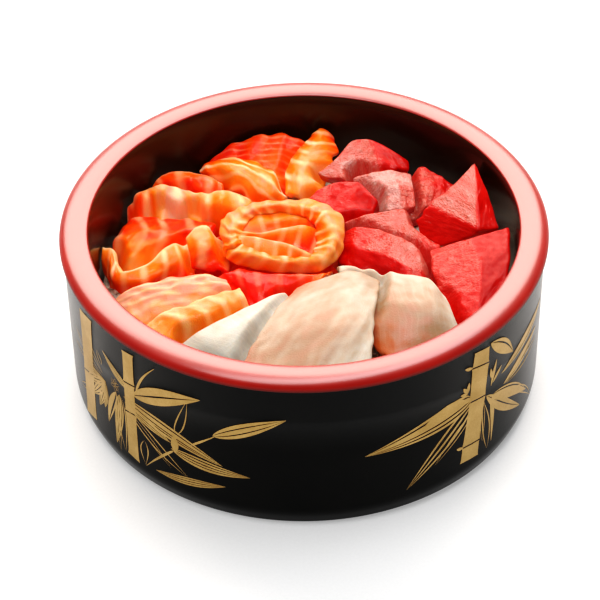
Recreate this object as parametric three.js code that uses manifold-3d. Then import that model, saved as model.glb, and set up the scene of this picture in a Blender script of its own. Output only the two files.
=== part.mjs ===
// A chirashi bowl: a round lacquer-look tub of vinegared rice, covered with slices of raw
// salmon, tuna and white fish that lie over each other like loose tiles.
// Millimetres, +Z up, the middle of the tub's foot at the origin, the viewer on the -Y side.

import * as THREE from "three";
import { mergeVertices } from "three/addons/utils/BufferGeometryUtils.js";
import Module from "manifold-3d";

const wasm = await Module();
wasm.setup();

// ---------------------------------------------------------------- driving dimensions

const TUB_HEIGHT = 76.5;
const RIM_OUTER_RADIUS = 97.5;
const RIM_CREST_RADIUS = 88.3;
const RIM_DOME_HEIGHT = 5.2;
const RIM_LIP_HEIGHT = 1.8;
const RIM_EDGE = 0.6;
const MOUTH_RADIUS = 84.2;
const MOUTH_ROUNDING = 3.4;
const WALL_TOP_RADIUS = 96.2;
const WALL_FOOT_RADIUS = 95.7;
const FOOT_RADIUS = 93;
const FOOT_BEVEL = 6.8;
const FOOT_EDGE = 1;
const FOOT_RING_WIDTH = 6;
const FOOT_RECESS = 2;
const FLOOR_RADIUS = 82;
const FLOOR_HEIGHT = 9;
const FLOOR_CORNER = 7;
const TUB_FACETS = 60;

const CLEARANCE = 0.3;
const FACET_SAG = 0.15;
const RICE_EDGE_HEIGHT = 43;
const RICE_DOME = 4;
const RICE_BUMP = 0.9;
const RICE_WAVE = 1.7;
const RICE_RINGS = 9;
const RICE_FACETS = 30;

const SALMON_THICKNESS = 4.5;
const TUNA_THICKNESS = 8;
const WHITE_THICKNESS = 4;

// ---------------------------------------------------------------- colours

const paint = {
  lacquer: { color: 0x120b08, roughness: 0.12, metalness: 0 },
  rice: { color: 0xf1ece0, roughness: 0.5, metalness: 0 },
  salmon: { color: 0xee5a1c, roughness: 0.3, metalness: 0 },
  tuna: { color: 0xc3202a, roughness: 0.35, metalness: 0 },
  white: { color: 0xf0dcc4, roughness: 0.3, metalness: 0 },
};

// ---------------------------------------------------------------- joining and cutting

function solidOf(geometry) {
  const bare = geometry.clone();
  bare.deleteAttribute("normal");
  bare.deleteAttribute("uv");
  const welded = mergeVertices(bare, 1e-4);
  return new wasm.Manifold(
    new wasm.Mesh({
      numProp: 3,
      vertProperties: new Float32Array(welded.attributes.position.array),
      triVerts: new Uint32Array(welded.index.array),
    }),
  );
}

function geometryOf(solid) {
  const mesh = solid.getMesh();
  const geometry = new THREE.BufferGeometry();
  geometry.setAttribute("position", new THREE.BufferAttribute(mesh.vertProperties, 3));
  geometry.setIndex(new THREE.BufferAttribute(mesh.triVerts, 1));
  geometry.computeVertexNormals();
  return geometry;
}

function largestPiece(solid) {
  return solid.decompose().reduce((best, next) => (next.volume() > best.volume() ? next : best));
}

// ---------------------------------------------------------------- the tub

// Points along part of an ellipse, between two angles in degrees.
function arc([centreRadius, centreHeight], [reach, rise], from, to, steps) {
  const points = [];
  for (let i = 0; i <= steps; i += 1) {
    const angle = THREE.MathUtils.degToRad(from + ((to - from) * i) / steps);
    const across = centreRadius + reach * Math.cos(angle);
    points.push(new THREE.Vector2(across, centreHeight + rise * Math.sin(angle)));
  }
  return points;
}

function turned(points) {
  const geometry = new THREE.LatheGeometry(points, TUB_FACETS);
  geometry.rotateX(Math.PI / 2);
  return geometry;
}

// One moulding: a foot ring, a straight wall and a domed rim that overhangs the wall a little.
function tubProfile() {
  const at = (radius, height) => new THREE.Vector2(radius, height);
  const shoulder = TUB_HEIGHT - RIM_DOME_HEIGHT;
  const lip = shoulder - RIM_LIP_HEIGHT;
  const ringInside = FOOT_RADIUS - FOOT_RING_WIDTH;
  const dome = [RIM_OUTER_RADIUS - RIM_CREST_RADIUS, RIM_DOME_HEIGHT];
  const mouth = [RIM_CREST_RADIUS - MOUTH_RADIUS, MOUTH_ROUNDING];
  const corner = [FLOOR_CORNER, FLOOR_CORNER];
  return [
    at(0, FOOT_RECESS),
    at(ringInside - FOOT_RECESS, FOOT_RECESS),
    at(ringInside, 0),
    at(FOOT_RADIUS - FOOT_EDGE, 0),
    at(FOOT_RADIUS, FOOT_EDGE),
    at(WALL_FOOT_RADIUS, FOOT_BEVEL),
    at(WALL_TOP_RADIUS, lip),
    at(RIM_OUTER_RADIUS - RIM_EDGE, lip),
    at(RIM_OUTER_RADIUS, lip + RIM_EDGE),
    ...arc([RIM_CREST_RADIUS, shoulder], dome, 0, 90, 4),
    ...arc([RIM_CREST_RADIUS, TUB_HEIGHT - MOUTH_ROUNDING], mouth, 120, 180, 2),
    ...arc([FLOOR_RADIUS - FLOOR_CORNER, FLOOR_HEIGHT + FLOOR_CORNER], corner, 0, -90, 4),
    at(0, FLOOR_HEIGHT),
  ];
}

// The room inside the tub, kept a clearance away from its wall and floor.
function cavity() {
  const gap = CLEARANCE + FACET_SAG;
  const floor = FLOOR_HEIGHT + CLEARANCE;
  const bottom = FLOOR_RADIUS - gap;
  const corner = [FLOOR_CORNER, FLOOR_CORNER];
  return solidOf(
    turned([
      new THREE.Vector2(0, floor),
      ...arc([bottom - FLOOR_CORNER, floor + FLOOR_CORNER], corner, -90, 0, 4),
      new THREE.Vector2(MOUTH_RADIUS - gap, TUB_HEIGHT - MOUTH_ROUNDING),
      new THREE.Vector2(0, TUB_HEIGHT - MOUTH_ROUNDING),
    ]),
  );
}

// ---------------------------------------------------------------- the fish

const UP = new THREE.Vector3(0, 0, 1);
const END_SHARPNESS = 8;
const AT_END = 0.999;

// A slice is a strip of fish that follows a smooth line through its stations, each one
// [x, y, z of its upper face, width, roll]. Roll tips it about its line, right-hand edge down.
// `crown` lets both edges sag and `skew` slants the cut ends.
function strip(slice, grow = 0) {
  const { stations, thickness, crown = 0, skew = 0, taper = 0.3, along = 10, across = 4 } = slice;
  const line = new THREE.CatmullRomCurve3(
    stations.map(([x, y, z]) => new THREE.Vector3(x, y, z)), false, "catmullrom", 0.5,
  );
  const shape = new THREE.CatmullRomCurve3(
    stations.map(([, , , width, roll]) => new THREE.Vector3(width, roll, 0)), false, "catmullrom", 0.5,
  );
  const geometry = new THREE.BoxGeometry(2, 2, 2, along, across, 1);
  const position = geometry.attributes.position;
  for (let i = 0; i < position.count; i += 1) {
    const end = position.getX(i);
    const v = position.getY(i);
    const t = (end + 1) / 2;
    const { x: width, y: roll } = shape.getPoint(t);
    const turn = THREE.MathUtils.degToRad(roll);
    const tangent = line.getTangent(t);
    const left = new THREE.Vector3().crossVectors(UP, tangent).normalize();
    const up = new THREE.Vector3().crossVectors(tangent, left).applyAxisAngle(tangent, turn);
    left.applyAxisAngle(tangent, turn);
    const rounding = 1 - taper * end ** END_SHARPNESS;
    const overEnd = Math.abs(end) > AT_END ? Math.sign(end) * grow : 0;
    const point = line.getPoint(t);
    point.addScaledVector(left, v * ((width / 2) * rounding + grow));
    point.addScaledVector(tangent, v * skew + overEnd);
    const depth = (1 - position.getZ(i)) * thickness / 2 + crown * v * v;
    point.addScaledVector(up, position.getZ(i) * grow - depth);
    position.setXYZ(i, point.x, point.y, point.z);
  }
  return solidOf(geometry);
}

const salmon = (name, stations, more = {}) => (
  { name: `salmon_${name}`, stations, thickness: SALMON_THICKNESS, material: paint.salmon, ...more });
const tuna = (name, stations, more = {}) => (
  { name: `tuna_${name}`, stations, thickness: TUNA_THICKNESS, material: paint.tuna,
    taper: 0.05, along: 8, across: 3, ...more });
const white = (name, stations, more = {}) => (
  { name: `white_${name}`, stations, thickness: WHITE_THICKNESS, material: paint.white, ...more });

// From the slice that lies on top of all to the ones that lie on the rice.
const slices = [
  salmon("rose", [
    [-36, 2, 57, 14, 30], [-26, -1, 60.5, 16, 42], [-12, -5, 62, 17, 45], [2, -5, 62.5, 17, 45],
    [12, 1, 62.5, 17, 42], [12, 11, 63, 16, 30], [3, 19, 63.5, 13, 15], [-10, 22, 63.5, 13, 12],
    [-24, 17, 62.5, 19, 12], [-35, 11, 59, 18, 10]], { along: 28 }),
  salmon("rose_heart", [
    [-24, 6, 57, 12, 45], [-10, 9, 60, 13, 45], [5, 12, 59, 12, 45]], { along: 8, across: 2 }),
  salmon("arch", [
    [-47, 10, 55, 15, 0], [-43, 11, 60, 15, 0], [-36, 11, 62.5, 15, 0], [-30, 11, 60, 15, 0],
    [-26, 10, 55, 15, 0]], { thickness: 4, across: 2 }),
  salmon("wave_front", [
    [-80, -2, 56, 20, 45], [-74, -9, 54.5, 20, 45], [-68, -14, 54, 20, 45], [-62, -12, 56, 20, 45],
    [-57, -8, 59, 20, 45], [-50, -7, 59.5, 20, 45], [-43, -10, 57, 20, 45], [-36, -12, 54, 18, 45]],
    { along: 18 }),
  salmon("wave_inner", [
    [-77, 10, 54, 22, 35], [-62, 14, 57, 20, 35], [-50, 15, 58, 20, 35], [-38, 15, 57, 18, 30]]),
  salmon("wave_left", [
    [-74, 31, 56, 14, 50], [-64, 27, 57, 20, 50], [-54, 30, 57.5, 20, 50], [-46, 34, 58, 20, 50],
    [-37, 29, 58, 20, 50], [-28, 31, 57.5, 18, 50]], { along: 14 }),
  salmon("wave_left_back", [
    [-64, 37, 56, 16, 20], [-54, 43, 58, 20, 20], [-46, 43, 58.5, 20, 20], [-38, 37, 57, 16, 20]]),
  salmon("slab_front", [
    [-60, -53, 52, 14, 32], [-50, -50, 55, 20, 32], [-39, -45, 57.5, 22, 30], [-28, -38, 58.5, 20, 25],
    [-17, -30, 57, 14, 20]], { crown: 1.5 }),
  salmon("slab_left", [
    [-70, -32, 52, 16, 25], [-58, -37, 55.5, 26, 25], [-44, -36, 57.5, 28, 25], [-30, -36, 57, 24, 20]]),
  salmon("under_rose", [
    [-40, -9, 56, 22, 30], [-24, -14, 56.5, 22, 30], [-12, -20, 57, 20, 30], [0, -17, 57.5, 20, 30],
    [9, -13, 57, 14, 30]]),
  white("drape", [
    [12, -12, 57, 14, 5], [9, -24, 60.5, 28, 5], [8, -40, 62.5, 36, 5], [3, -56, 60.5, 46, 3],
    [0, -72, 54, 52, 0]], { crown: 3 }),
  white("left", [
    [-50, -61, 51, 16, 20], [-38, -58, 56.5, 28, 18], [-25, -55, 57.5, 34, 15], [-8, -54, 54.5, 36, 12]]),
  tuna("wall", [
    [67, 3, 66.5, 36, 12], [67, -13, 66.5, 32, 12], [66, -29, 64.5, 22, 12], [62, -45, 60.5, 8, 12]],
    { crown: 3, taper: 0 }),
  tuna("point", [
    [71, 42, 69.5, 3, 16], [66, 34, 66.5, 17, 16], [63, 25, 64, 27, 16], [66, 13, 63, 22, 16],
    [71, 2, 62, 14, 16]], { taper: 0, thickness: 9 }),
  white("right", [
    [14, -16, 56, 18, 15], [24, -24, 58.5, 30, 15], [37, -33, 59.5, 34, 15], [49, -39, 57.5, 32, 15],
    [58, -50, 52, 22, 15]], { crown: 2 }),
  white("tip", [
    [22, -60, 52, 16, 8], [37, -59, 55, 18, 8], [52, -57, 53, 16, 8]], { across: 2 }),
  tuna("front", [
    [12, 12, 54, 20, 20], [24, 7, 57, 24, 20], [36, 1, 57.5, 26, 20], [48, -7, 56, 22, 20]], { crown: 1 }),
  tuna("middle", [
    [16, 16, 55, 20, 12], [28, 17, 58, 24, 12], [40, 14, 59, 24, 12], [50, 5, 58, 22, 12],
    [55, -6, 55, 18, 12]], { crown: 1 }),
  tuna("ridge", [
    [0, 31, 54, 18, 10], [9, 34, 57.5, 24, 10], [19, 35, 59, 26, 10], [27, 33, 57, 26, 10],
    [34, 31, 53, 24, 10]]),
  tuna("pale", [
    [20, 38, 54, 26, 12], [30, 38, 57.5, 28, 12], [39, 37, 60, 30, 12], [48, 37, 58.5, 28, 12],
    [58, 38, 54, 22, 12]]),
  tuna("peak", [
    [2, 52, 56.5, 14, 15], [12, 56, 61, 24, 15], [22, 57, 62.5, 26, 15], [31, 56, 59, 26, 15],
    [43, 53, 54, 20, 15]]),
  tuna("back", [
    [40, 50, 53, 16, 20], [50, 48, 57, 18, 20], [58, 42, 57.5, 18, 20], [66, 34, 55, 16, 20]]),
  salmon("knob", [
    [12, 80, 59, 16, -20], [7, 72, 61.5, 18, 5], [2, 60, 60, 20, 20], [-1, 48, 56, 20, 25],
    [-2, 36, 51, 18, 20]]),
  salmon("fold", [
    [-43, 55, 55, 18, 30], [-31, 52, 56.5, 22, 32], [-18, 45, 56.5, 24, 35], [-9, 36, 54.5, 22, 30],
    [-6, 27, 50, 18, 20]], { crown: 2 }),
  salmon("fan", [
    [-43, 56, 49, 24, 30], [-30, 63, 52.5, 30, 32], [-15, 66, 53.5, 32, 32], [3, 65, 53, 28, 30]],
    { crown: 1, taper: 0.5 }),
  salmon("rose_bed", [
    [-30, 8, 53.5, 22, 5], [-12, 10, 55, 24, 5], [6, 10, 54, 20, 5]], { along: 6, across: 2 }),
];

// ---------------------------------------------------------------- the rice

// A low dome of rice with bumps the size of its grains.
function riceBed() {
  const underside = FLOOR_HEIGHT - CLEARANCE;
  const profile = [new THREE.Vector2(0, underside), new THREE.Vector2(RIM_CREST_RADIUS, underside)];
  for (let i = 0; i <= RICE_RINGS; i += 1) {
    const out = 1 - i / RICE_RINGS;
    const height = RICE_EDGE_HEIGHT + RICE_DOME * (1 - out * out);
    profile.push(new THREE.Vector2(RIM_CREST_RADIUS * out, height));
  }
  const geometry = new THREE.LatheGeometry(profile, RICE_FACETS);
  geometry.rotateX(Math.PI / 2);
  const position = geometry.attributes.position;
  for (let i = 0; i < position.count; i += 1) {
    if (position.getZ(i) > underside) {
      const bump = Math.sin(position.getX(i) * RICE_WAVE) * Math.cos(position.getY(i) * RICE_WAVE);
      position.setZ(i, position.getZ(i) + RICE_BUMP * bump);
    }
  }
  return solidOf(geometry);
}

// ---------------------------------------------------------------- put together

const group = new THREE.Group();

function addPart(name, geometry, material) {
  const mesh = new THREE.Mesh(geometry, new THREE.MeshStandardMaterial(material));
  mesh.name = name;
  group.add(mesh);
}

addPart("bowl", turned(tubProfile()), paint.lacquer);

const room = cavity();
const above = [];
for (const slice of slices) {
  let solid = strip(slice).intersect(room);
  for (const upper of above) {
    solid = solid.subtract(upper);
  }
  addPart(slice.name, geometryOf(largestPiece(solid)), slice.material);
  above.push(strip(slice, CLEARANCE));
}
const rice = above.reduce((heap, upper) => heap.subtract(upper), riceBed().intersect(room));
addPart("rice", geometryOf(largestPiece(rice)), paint.rice);

export default group;
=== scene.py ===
import math

import bpy
import numpy as np
from mathutils import Matrix, Vector


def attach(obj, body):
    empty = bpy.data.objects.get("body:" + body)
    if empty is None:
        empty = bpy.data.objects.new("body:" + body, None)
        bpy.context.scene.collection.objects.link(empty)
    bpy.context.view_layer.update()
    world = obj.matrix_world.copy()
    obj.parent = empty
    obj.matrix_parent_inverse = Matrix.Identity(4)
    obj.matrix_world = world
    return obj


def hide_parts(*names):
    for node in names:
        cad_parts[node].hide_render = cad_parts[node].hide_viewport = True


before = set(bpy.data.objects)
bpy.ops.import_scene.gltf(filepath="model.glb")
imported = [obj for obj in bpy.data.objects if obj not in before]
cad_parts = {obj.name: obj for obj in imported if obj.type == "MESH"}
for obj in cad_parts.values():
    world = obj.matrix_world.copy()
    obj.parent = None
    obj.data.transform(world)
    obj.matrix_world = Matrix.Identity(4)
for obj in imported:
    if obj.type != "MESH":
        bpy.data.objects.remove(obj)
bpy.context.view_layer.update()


# ---------------------------------------------------------------- the tub
# One moulding of ABS, turned round: a ring foot, a straight wall and a rim that stands a
# millimetre proud of the wall, rounded outside and nearly flat on top. It is sprayed black,
# inside and out, and the rim is sprayed vermilion over the black. Sizes are in millimetres.
TUB_SEGMENTS = 320
WALL_LOW = (95.7, 6.8)
WALL_HIGH = (96.2, 71.9)


def colour(code):
    """A hex colour as linear red, green and blue with full alpha."""
    channels = [int(code[i : i + 2], 16) / 255 for i in (1, 3, 5)]
    linear = [c / 12.92 if c <= 0.04045 else ((c + 0.055) / 1.055) ** 2.4 for c in channels]
    return (*linear, 1.0)


def add_node(tree, kind, inputs=None, **settings):
    """Adds a shader node with its settings. Each input is set to a value, or joined to a
    socket or to the first output of another node."""
    made = tree.nodes.new("ShaderNode" + kind)
    for name, value in settings.items():
        setattr(made, name, value)
    for name, value in (inputs or {}).items():
        if isinstance(value, bpy.types.Node):
            value = value.outputs[0]
        if isinstance(value, bpy.types.NodeSocket):
            tree.links.new(value, made.inputs[name])
        else:
            made.inputs[name].default_value = value
    return made


def new_material(name):
    """An empty material with its node tree."""
    made = bpy.data.materials.new(name)
    made.use_nodes = True
    made.node_tree.nodes.clear()
    return made, made.node_tree


def set_ramp(node, stops):
    """Gives a colour ramp its stops, each a position and a hex colour."""
    ramp = node.color_ramp
    while len(ramp.elements) < len(stops):
        ramp.elements.new(0.5)
    for element, (position, code) in zip(ramp.elements, stops):
        element.position = position
        element.color = colour(code)


def add_object(name, points, faces, materials, body="root", parts=(), finish_slot=None):
    """A smooth mesh with its points in millimetres, riding a body and standing for CAD nodes."""
    mesh = bpy.data.meshes.new(name)
    mesh.from_pydata((np.asarray(points) / 1000).tolist(), [], [tuple(f) for f in faces])
    mesh.polygons.foreach_set("use_smooth", [True] * len(mesh.polygons))
    for material in materials:
        mesh.materials.append(material)
    made = bpy.data.objects.new(name, mesh)
    bpy.context.scene.collection.objects.link(made)
    if parts:
        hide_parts(*parts)
    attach(made, body)
    return made


def arc(centre, reach, start, stop, steps):
    """Points along part of an ellipse, between two angles in degrees."""
    turns = np.radians(np.linspace(start, stop, steps + 1))
    (x, y), (across, up) = centre, reach
    return [(x + across * math.cos(a), y + up * math.sin(a)) for a in turns]


def rounded(before, corner, after, radius, steps=5):
    """A corner of a profile, rounded off by a curve that starts and ends at that distance."""
    before, corner, after = (np.array(p, float) for p in (before, corner, after))
    start = corner + (before - corner) / np.linalg.norm(before - corner) * radius
    stop = corner + (after - corner) / np.linalg.norm(after - corner) * radius
    parts = [i / steps for i in range(steps + 1)]
    return [tuple((1 - t) ** 2 * start + 2 * t * (1 - t) * corner + t * t * stop) for t in parts]


foot = (
    [(30, 2)]
    + rounded((30, 2), (85, 2), (87, 0), 0.8)
    + rounded((85, 2), (87, 0), (93, 0), 0.8)
    + rounded((87, 0), (93, 0), WALL_LOW, 1.0)
    + rounded((93, 0), WALL_LOW, WALL_HIGH, 2.5, 8)
)
wall_top = [(95.96, 40.0), WALL_HIGH]
rim = (
    rounded(WALL_HIGH, (97.5, 71.9), (97.5, 73.0), 0.4)
    + arc((91.6, 73.0), (5.9, 3.5), 0, 90, 26)
    + arc((91.6, 75.3), (5.6, 1.2), 96, 150, 8)
    + rounded((86.75, 75.9), (86.1, 75.6), (85.8, 74.5), 0.5)
)
inside = (
    [(85.4, 71.0), (83.6, 56.0), (82.8, 36.0)] + arc((75, 16), (7, 7), 0, -90, 10) + [(30, 9)]
)
profile = foot + wall_top + rim + inside
turns = np.linspace(0, 2 * math.pi, TUB_SEGMENTS, endpoint=False)
rings = np.array(
    [[(r * math.cos(a), r * math.sin(a), z) for a in turns] for r, z in profile]
).reshape(-1, 3)
index = np.arange(len(profile) * TUB_SEGMENTS).reshape(len(profile), TUB_SEGMENTS)
following = np.roll(index, -1, axis=1)
sides = np.stack([index[:-1], following[:-1], following[1:], index[1:]], -1)
tub_faces = [tuple(f) for f in sides.reshape(-1, 4).tolist()]
tub_faces += [tuple(index[0, ::-1].tolist()), tuple(index[-1].tolist())]

# Urethane lacquer, sprayed and polished: a hard gloss with a faint orange peel, so that the
# black is deep where nothing bright stands behind the viewer and grey at grazing angles.
lacquer, tree = new_material("black urethane lacquer on ABS")
where = add_node(tree, "TexCoord").outputs["Object"]
haze = add_node(tree, "TexNoise", {"Vector": where, "Scale": 60, "Detail": 4})
peel = add_node(tree, "TexNoise", {"Vector": where, "Scale": 420, "Detail": 1})
body_tint = add_node(tree, "ValToRGB", {"Fac": haze})
set_ramp(body_tint, [(0.35, "#060604"), (0.7, "#0C0B08")])
gloss = add_node(tree, "MapRange", {"Value": haze, "To Min": 0.2, "To Max": 0.3})
skin = add_node(tree, "Bump", {"Height": peel, "Strength": 0.06, "Distance": 0.0004})
shader = add_node(
    tree,
    "BsdfPrincipled",
    {
        "Base Color": body_tint,
        "Roughness": gloss,
        "IOR": 1.48,
        "Specular IOR Level": 0.08,
        "Normal": skin,
    },
)
add_node(tree, "OutputMaterial", {"Surface": shader})

# Heights on the lip, in metres, each a pair. Over the first pair the lower edge of the lip goes
# from near black, painted shade under the curl of the rim, to full red; over the second the gloss
# sets in likewise.
LIP_SHADE = (0.0719, 0.0739)
LIP_GLOSS = (0.0738, 0.0761)

# Vermilion urethane lacquer over the black: an opaque red with a soft, slightly waxy gloss,
# which turns pale pink where it mirrors a light. The coat runs thin on the lip, where it is
# dull, and the lower edge of the lip is painted near black as the shade under it.
vermilion, tree = new_material("vermilion urethane lacquer on ABS")
where = add_node(tree, "TexCoord").outputs["Object"]
cloud = add_node(tree, "TexNoise", {"Vector": where, "Scale": 45, "Detail": 3})
peel = add_node(tree, "TexNoise", {"Vector": where, "Scale": 380, "Detail": 1})
red = add_node(tree, "ValToRGB", {"Fac": cloud})
set_ramp(red, [(0.3, "#9C170C"), (0.75, "#AE2012")])
level = add_node(tree, "SeparateXYZ", {"Vector": where})
thickness = add_node(
    tree,
    "MapRange",
    {
        "Value": level.outputs["Z"],
        "From Min": LIP_GLOSS[0],
        "From Max": LIP_GLOSS[1],
        "To Min": 0.08,
        "To Max": 1.0,
    },
    interpolation_type="SMOOTHSTEP",
)
lip_shade = add_node(
    tree,
    "MapRange",
    {
        "Value": level.outputs["Z"],
        "From Min": LIP_SHADE[0],
        "From Max": LIP_SHADE[1],
        "To Min": 0.12,
    },
)
# The red is mixed toward near black at the lower edge of the lip: painted shade.
sprayed = add_node(tree, "Mix", {"Factor": lip_shade, 6: colour("#0C0B08"), 7: red}, data_type="RGBA")
skin = add_node(tree, "Bump", {"Height": peel, "Strength": 0.08, "Distance": 0.0004})
shader = add_node(
    tree,
    "BsdfPrincipled",
    {
        "Base Color": sprayed.outputs[2],
        "Roughness": 0.5,
        "IOR": 1.5,
        "Specular IOR Level": 0.15,
        "Coat Weight": thickness,
        "Coat Roughness": 0.31,
        "Coat IOR": 1.85,
        "Normal": skin,
    },
)
add_node(tree, "OutputMaterial", {"Surface": shader})

# The same black inside the tub, where the coat is thinner over the brown primer, so that it
# looks dark brown next to the outside.
inner, tree = new_material("thin black lacquer over brown primer")
where = add_node(tree, "TexCoord").outputs["Object"]
haze = add_node(tree, "TexNoise", {"Vector": where, "Scale": 30, "Detail": 4})
brown = add_node(tree, "ValToRGB", {"Fac": haze})
set_ramp(brown, [(0.3, "#200D04"), (0.7, "#301507")])
gloss = add_node(tree, "MapRange", {"Value": haze, "To Min": 0.14, "To Max": 0.3})
shader = add_node(tree, "BsdfPrincipled", {"Base Color": brown, "Roughness": gloss, "IOR": 1.5})
add_node(tree, "OutputMaterial", {"Surface": shader})

tub = add_object(
    "bowl_moulding",
    rings,
    tub_faces,
    [lacquer, vermilion, inner],
    parts=["bowl"],
    finish_slot="lacquer",
)
rim_start = len(foot) + len(wall_top) - 1
rim_stop = rim_start + len(rim)
for polygon in tub.data.polygons:
    ring = polygon.index // TUB_SEGMENTS
    if polygon.loop_total == 4 and ring >= rim_start:
        polygon.material_index = 1 if ring < rim_stop - 1 else 2
tub.data.polygons[-1].material_index = 2


# ---------------------------------------------------------------- the gold print
# Two stems of bamboo with their leaves, screen printed in gold ink on the front of the wall,
# to the left and right of the middle. Places are millimetres along the wall from the middle of
# the front, right-hand way, and millimetres above the foot.
PRINT_STEPS = 26
STEM_STEPS = 12
INK_PROUD = 0.07
INK_RADIUS = 96
HAIRLINE = 0.16


def on_wall(along, height):
    """A point of the print, just off the wall."""
    share = (height - WALL_LOW[1]) / (WALL_HIGH[1] - WALL_LOW[1])
    radius = WALL_LOW[0] + (WALL_HIGH[0] - WALL_LOW[0]) * share + INK_PROUD
    turn = along / INK_RADIUS
    return (radius * math.sin(turn), -radius * math.cos(turn), height)


def add_band(shapes, rows):
    """Adds a ribbon of quads. Each row gives the two sides of the ribbon on the wall."""
    points, faces = shapes
    first = len(points)
    for a, b in rows:
        points += [on_wall(*a), on_wall((a[0] + b[0]) / 2, (a[1] + b[1]) / 2), on_wall(*b)]
    for i in range(len(rows) - 1):
        k = first + 3 * i
        faces += [(k, k + 1, k + 4, k + 3), (k + 1, k + 2, k + 5, k + 4)]


def leaf(shapes, base, tip, width, bend, bands, fullest=0.4):
    """A pointed leaf. The bands say which parts of its breadth, from -1 to 1, are inked."""
    base, tip = np.array(base, float), np.array(tip, float)
    way = tip - base
    side = np.array([-way[1], way[0]]) / np.linalg.norm(way)
    power = math.log(0.5) / math.log(fullest)
    for low, high in bands:
        rows = []
        for i in range(PRINT_STEPS + 1):
            t = i / PRINT_STEPS
            swell = math.sin(math.pi * t**power) ** 0.9 if 0 < t < 1 else 0.0
            middle = base + way * t + side * bend * math.sin(math.pi * t)
            half = width / 2 * swell + HAIRLINE / 2
            rows.append((tuple(middle + side * half * high), tuple(middle + side * half * low)))
        add_band(shapes, rows)


def stem(shapes, knots, gap=0.7, flare=0.5):
    """A stem in lengths between its knots, each knot given by its left and right ends."""
    for (left, right), (left_up, right_up) in zip(knots[:-1], knots[1:]):
        rows = []
        for i in range(STEM_STEPS + 1):
            t = i / STEM_STEPS
            swell = flare * (abs(2 * t - 1) ** 6)
            low = np.array(left) * (1 - t) + np.array(left_up) * t
            high = np.array(right) * (1 - t) + np.array(right_up) * t
            lift = gap / 2 if i == 0 else (-gap / 2 if i == STEM_STEPS else 0)
            rows.append(((high[0] + swell, high[1] + lift), (low[0] - swell, low[1] + lift)))
        add_band(shapes, rows)


SOLID = ((-1, 1),)
VEINED = ((-1, -0.6), (-0.48, -0.06), (0.1, 0.55), (0.68, 1))
OUTLINE = ((-1, -0.72), (0.72, 1))
THREE_LINES = ((-1, -0.68), (-0.16, 0.16), (0.68, 1))
BROAD = ((-1, -0.72), (-0.52, 0.2), (0.34, 0.6), (0.76, 1))

left_print = ([], [])
stem(
    left_print,
    [
        ((-79.0, 11.5), (-73.2, 10.0)),
        ((-78.6, 35.0), (-72.8, 36.0)),
        ((-78.4, 50.5), (-72.6, 51.5)),
        ((-77.6, 67.3), (-72.0, 68.0)),
    ],
)
stem(
    left_print,
    [
        ((-113.0, 8.0), (-103.0, 11.5)),
        ((-111.0, 33.0), (-101.5, 37.0)),
        ((-109.5, 66.0), (-99.0, 67.6)),
    ],
)
for drawn in (
    ((-73.5, 46.5), (-41, 60), 8.2, 1, ((-1, -0.12), (0.06, 1))),
    ((-71.5, 50), (-61, 67), 1, 1.2, SOLID, 0.25),
    ((-75.5, 47), (-91.5, 57.5), 3.6, 0.6, VEINED),
    ((-93.5, 48.6), (-96.3, 54.5), 2.6, 0, OUTLINE),
    ((-79.5, 42), (-33, 28), 6.8, 1.6, ((-1, -0.64), (-0.5, -0.3), (-0.14, 0.46), (0.66, 1)), 0.42),
    ((-79, 39.5), (-55.5, 31.5), 4.2, 0.5, VEINED, 0.5),
    ((-55.5, 28.5), (-22, 24.6), 5.4, -1, ((-1, -0.55), (-0.4, -0.06), (0.12, 0.5), (0.7, 1)), 0.4),
    ((-52.5, 38), (-46.8, 57.2), 4, -0.3, OUTLINE, 0.3),
    ((-53.6, 36.8), (-53.6, 27.2), 3.4, 0, SOLID, 0.55),
    ((-46, 34.6), (-35.3, 43.3), 0.9, 0, SOLID, 0.25),
    ((-36.6, 43), (-7.6, 56.8), 6.4, 0.3, ((-1, -0.5), (-0.34, 0.3), (0.46, 1)), 0.4),
    ((-79, 39), (-48.4, 16.2), 4.6, -0.4, OUTLINE, 0.45),
    ((-78, 37), (-56, 17.5), 2.2, 0.8, OUTLINE, 0.5),
    ((-63.8, 12.2), (-32.2, 17.2), 4, -0.6, VEINED, 0.5),
    ((-54.5, 27.6), (-69, 11.4), 1, -0.4, SOLID, 0.25),
    ((-69.2, 11.4), (-69, 25), 4.4, 0.4, OUTLINE, 0.6),
    ((-80.6, 40), (-80.8, 11.5), 5, -0.8, OUTLINE, 0.45),
    ((-82, 41), (-86.6, 12), 5.2, 0.6, VEINED, 0.4),
    ((-84, 41), (-91.5, 20), 4.4, -0.6, ((-1, 0.2), (0.6, 1)), 0.4),
    ((-82.5, 39), (-84, 9.5), 2.6, -1, OUTLINE, 0.5),
):
    leaf(left_print, *drawn)
for tip, width in (
    ((-109, 39), 4),
    ((-108, 33), 4.6),
    ((-103.5, 26.5), 5),
    ((-98, 24), 4.4),
    ((-93.5, 26), 3.4),
):
    leaf(left_print, (-91.5, 41.5), tip, width, 0.5, VEINED, 0.5)
for drawn in (
    ((-94, 43), (-119, 50), 3, 0.6, OUTLINE, 0.5),
    ((-95, 41), (-121, 41), 3, -0.4, OUTLINE, 0.5),
    ((-93, 44.5), (-112, 62), 3, 0.8, OUTLINE, 0.5),
    ((-100, 30), (-118.5, 20), 3.2, 0.5, OUTLINE, 0.5),
):
    leaf(left_print, *drawn)
bud = (-84.5, 44.5)
for turn in np.radians((20, 75, 140, 200, 265, 320)):
    tip = (bud[0] + 3.2 * math.cos(turn), bud[1] + 3.8 * math.sin(turn))
    leaf(left_print, bud, tip, 1.5, 0.2, OUTLINE)

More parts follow.
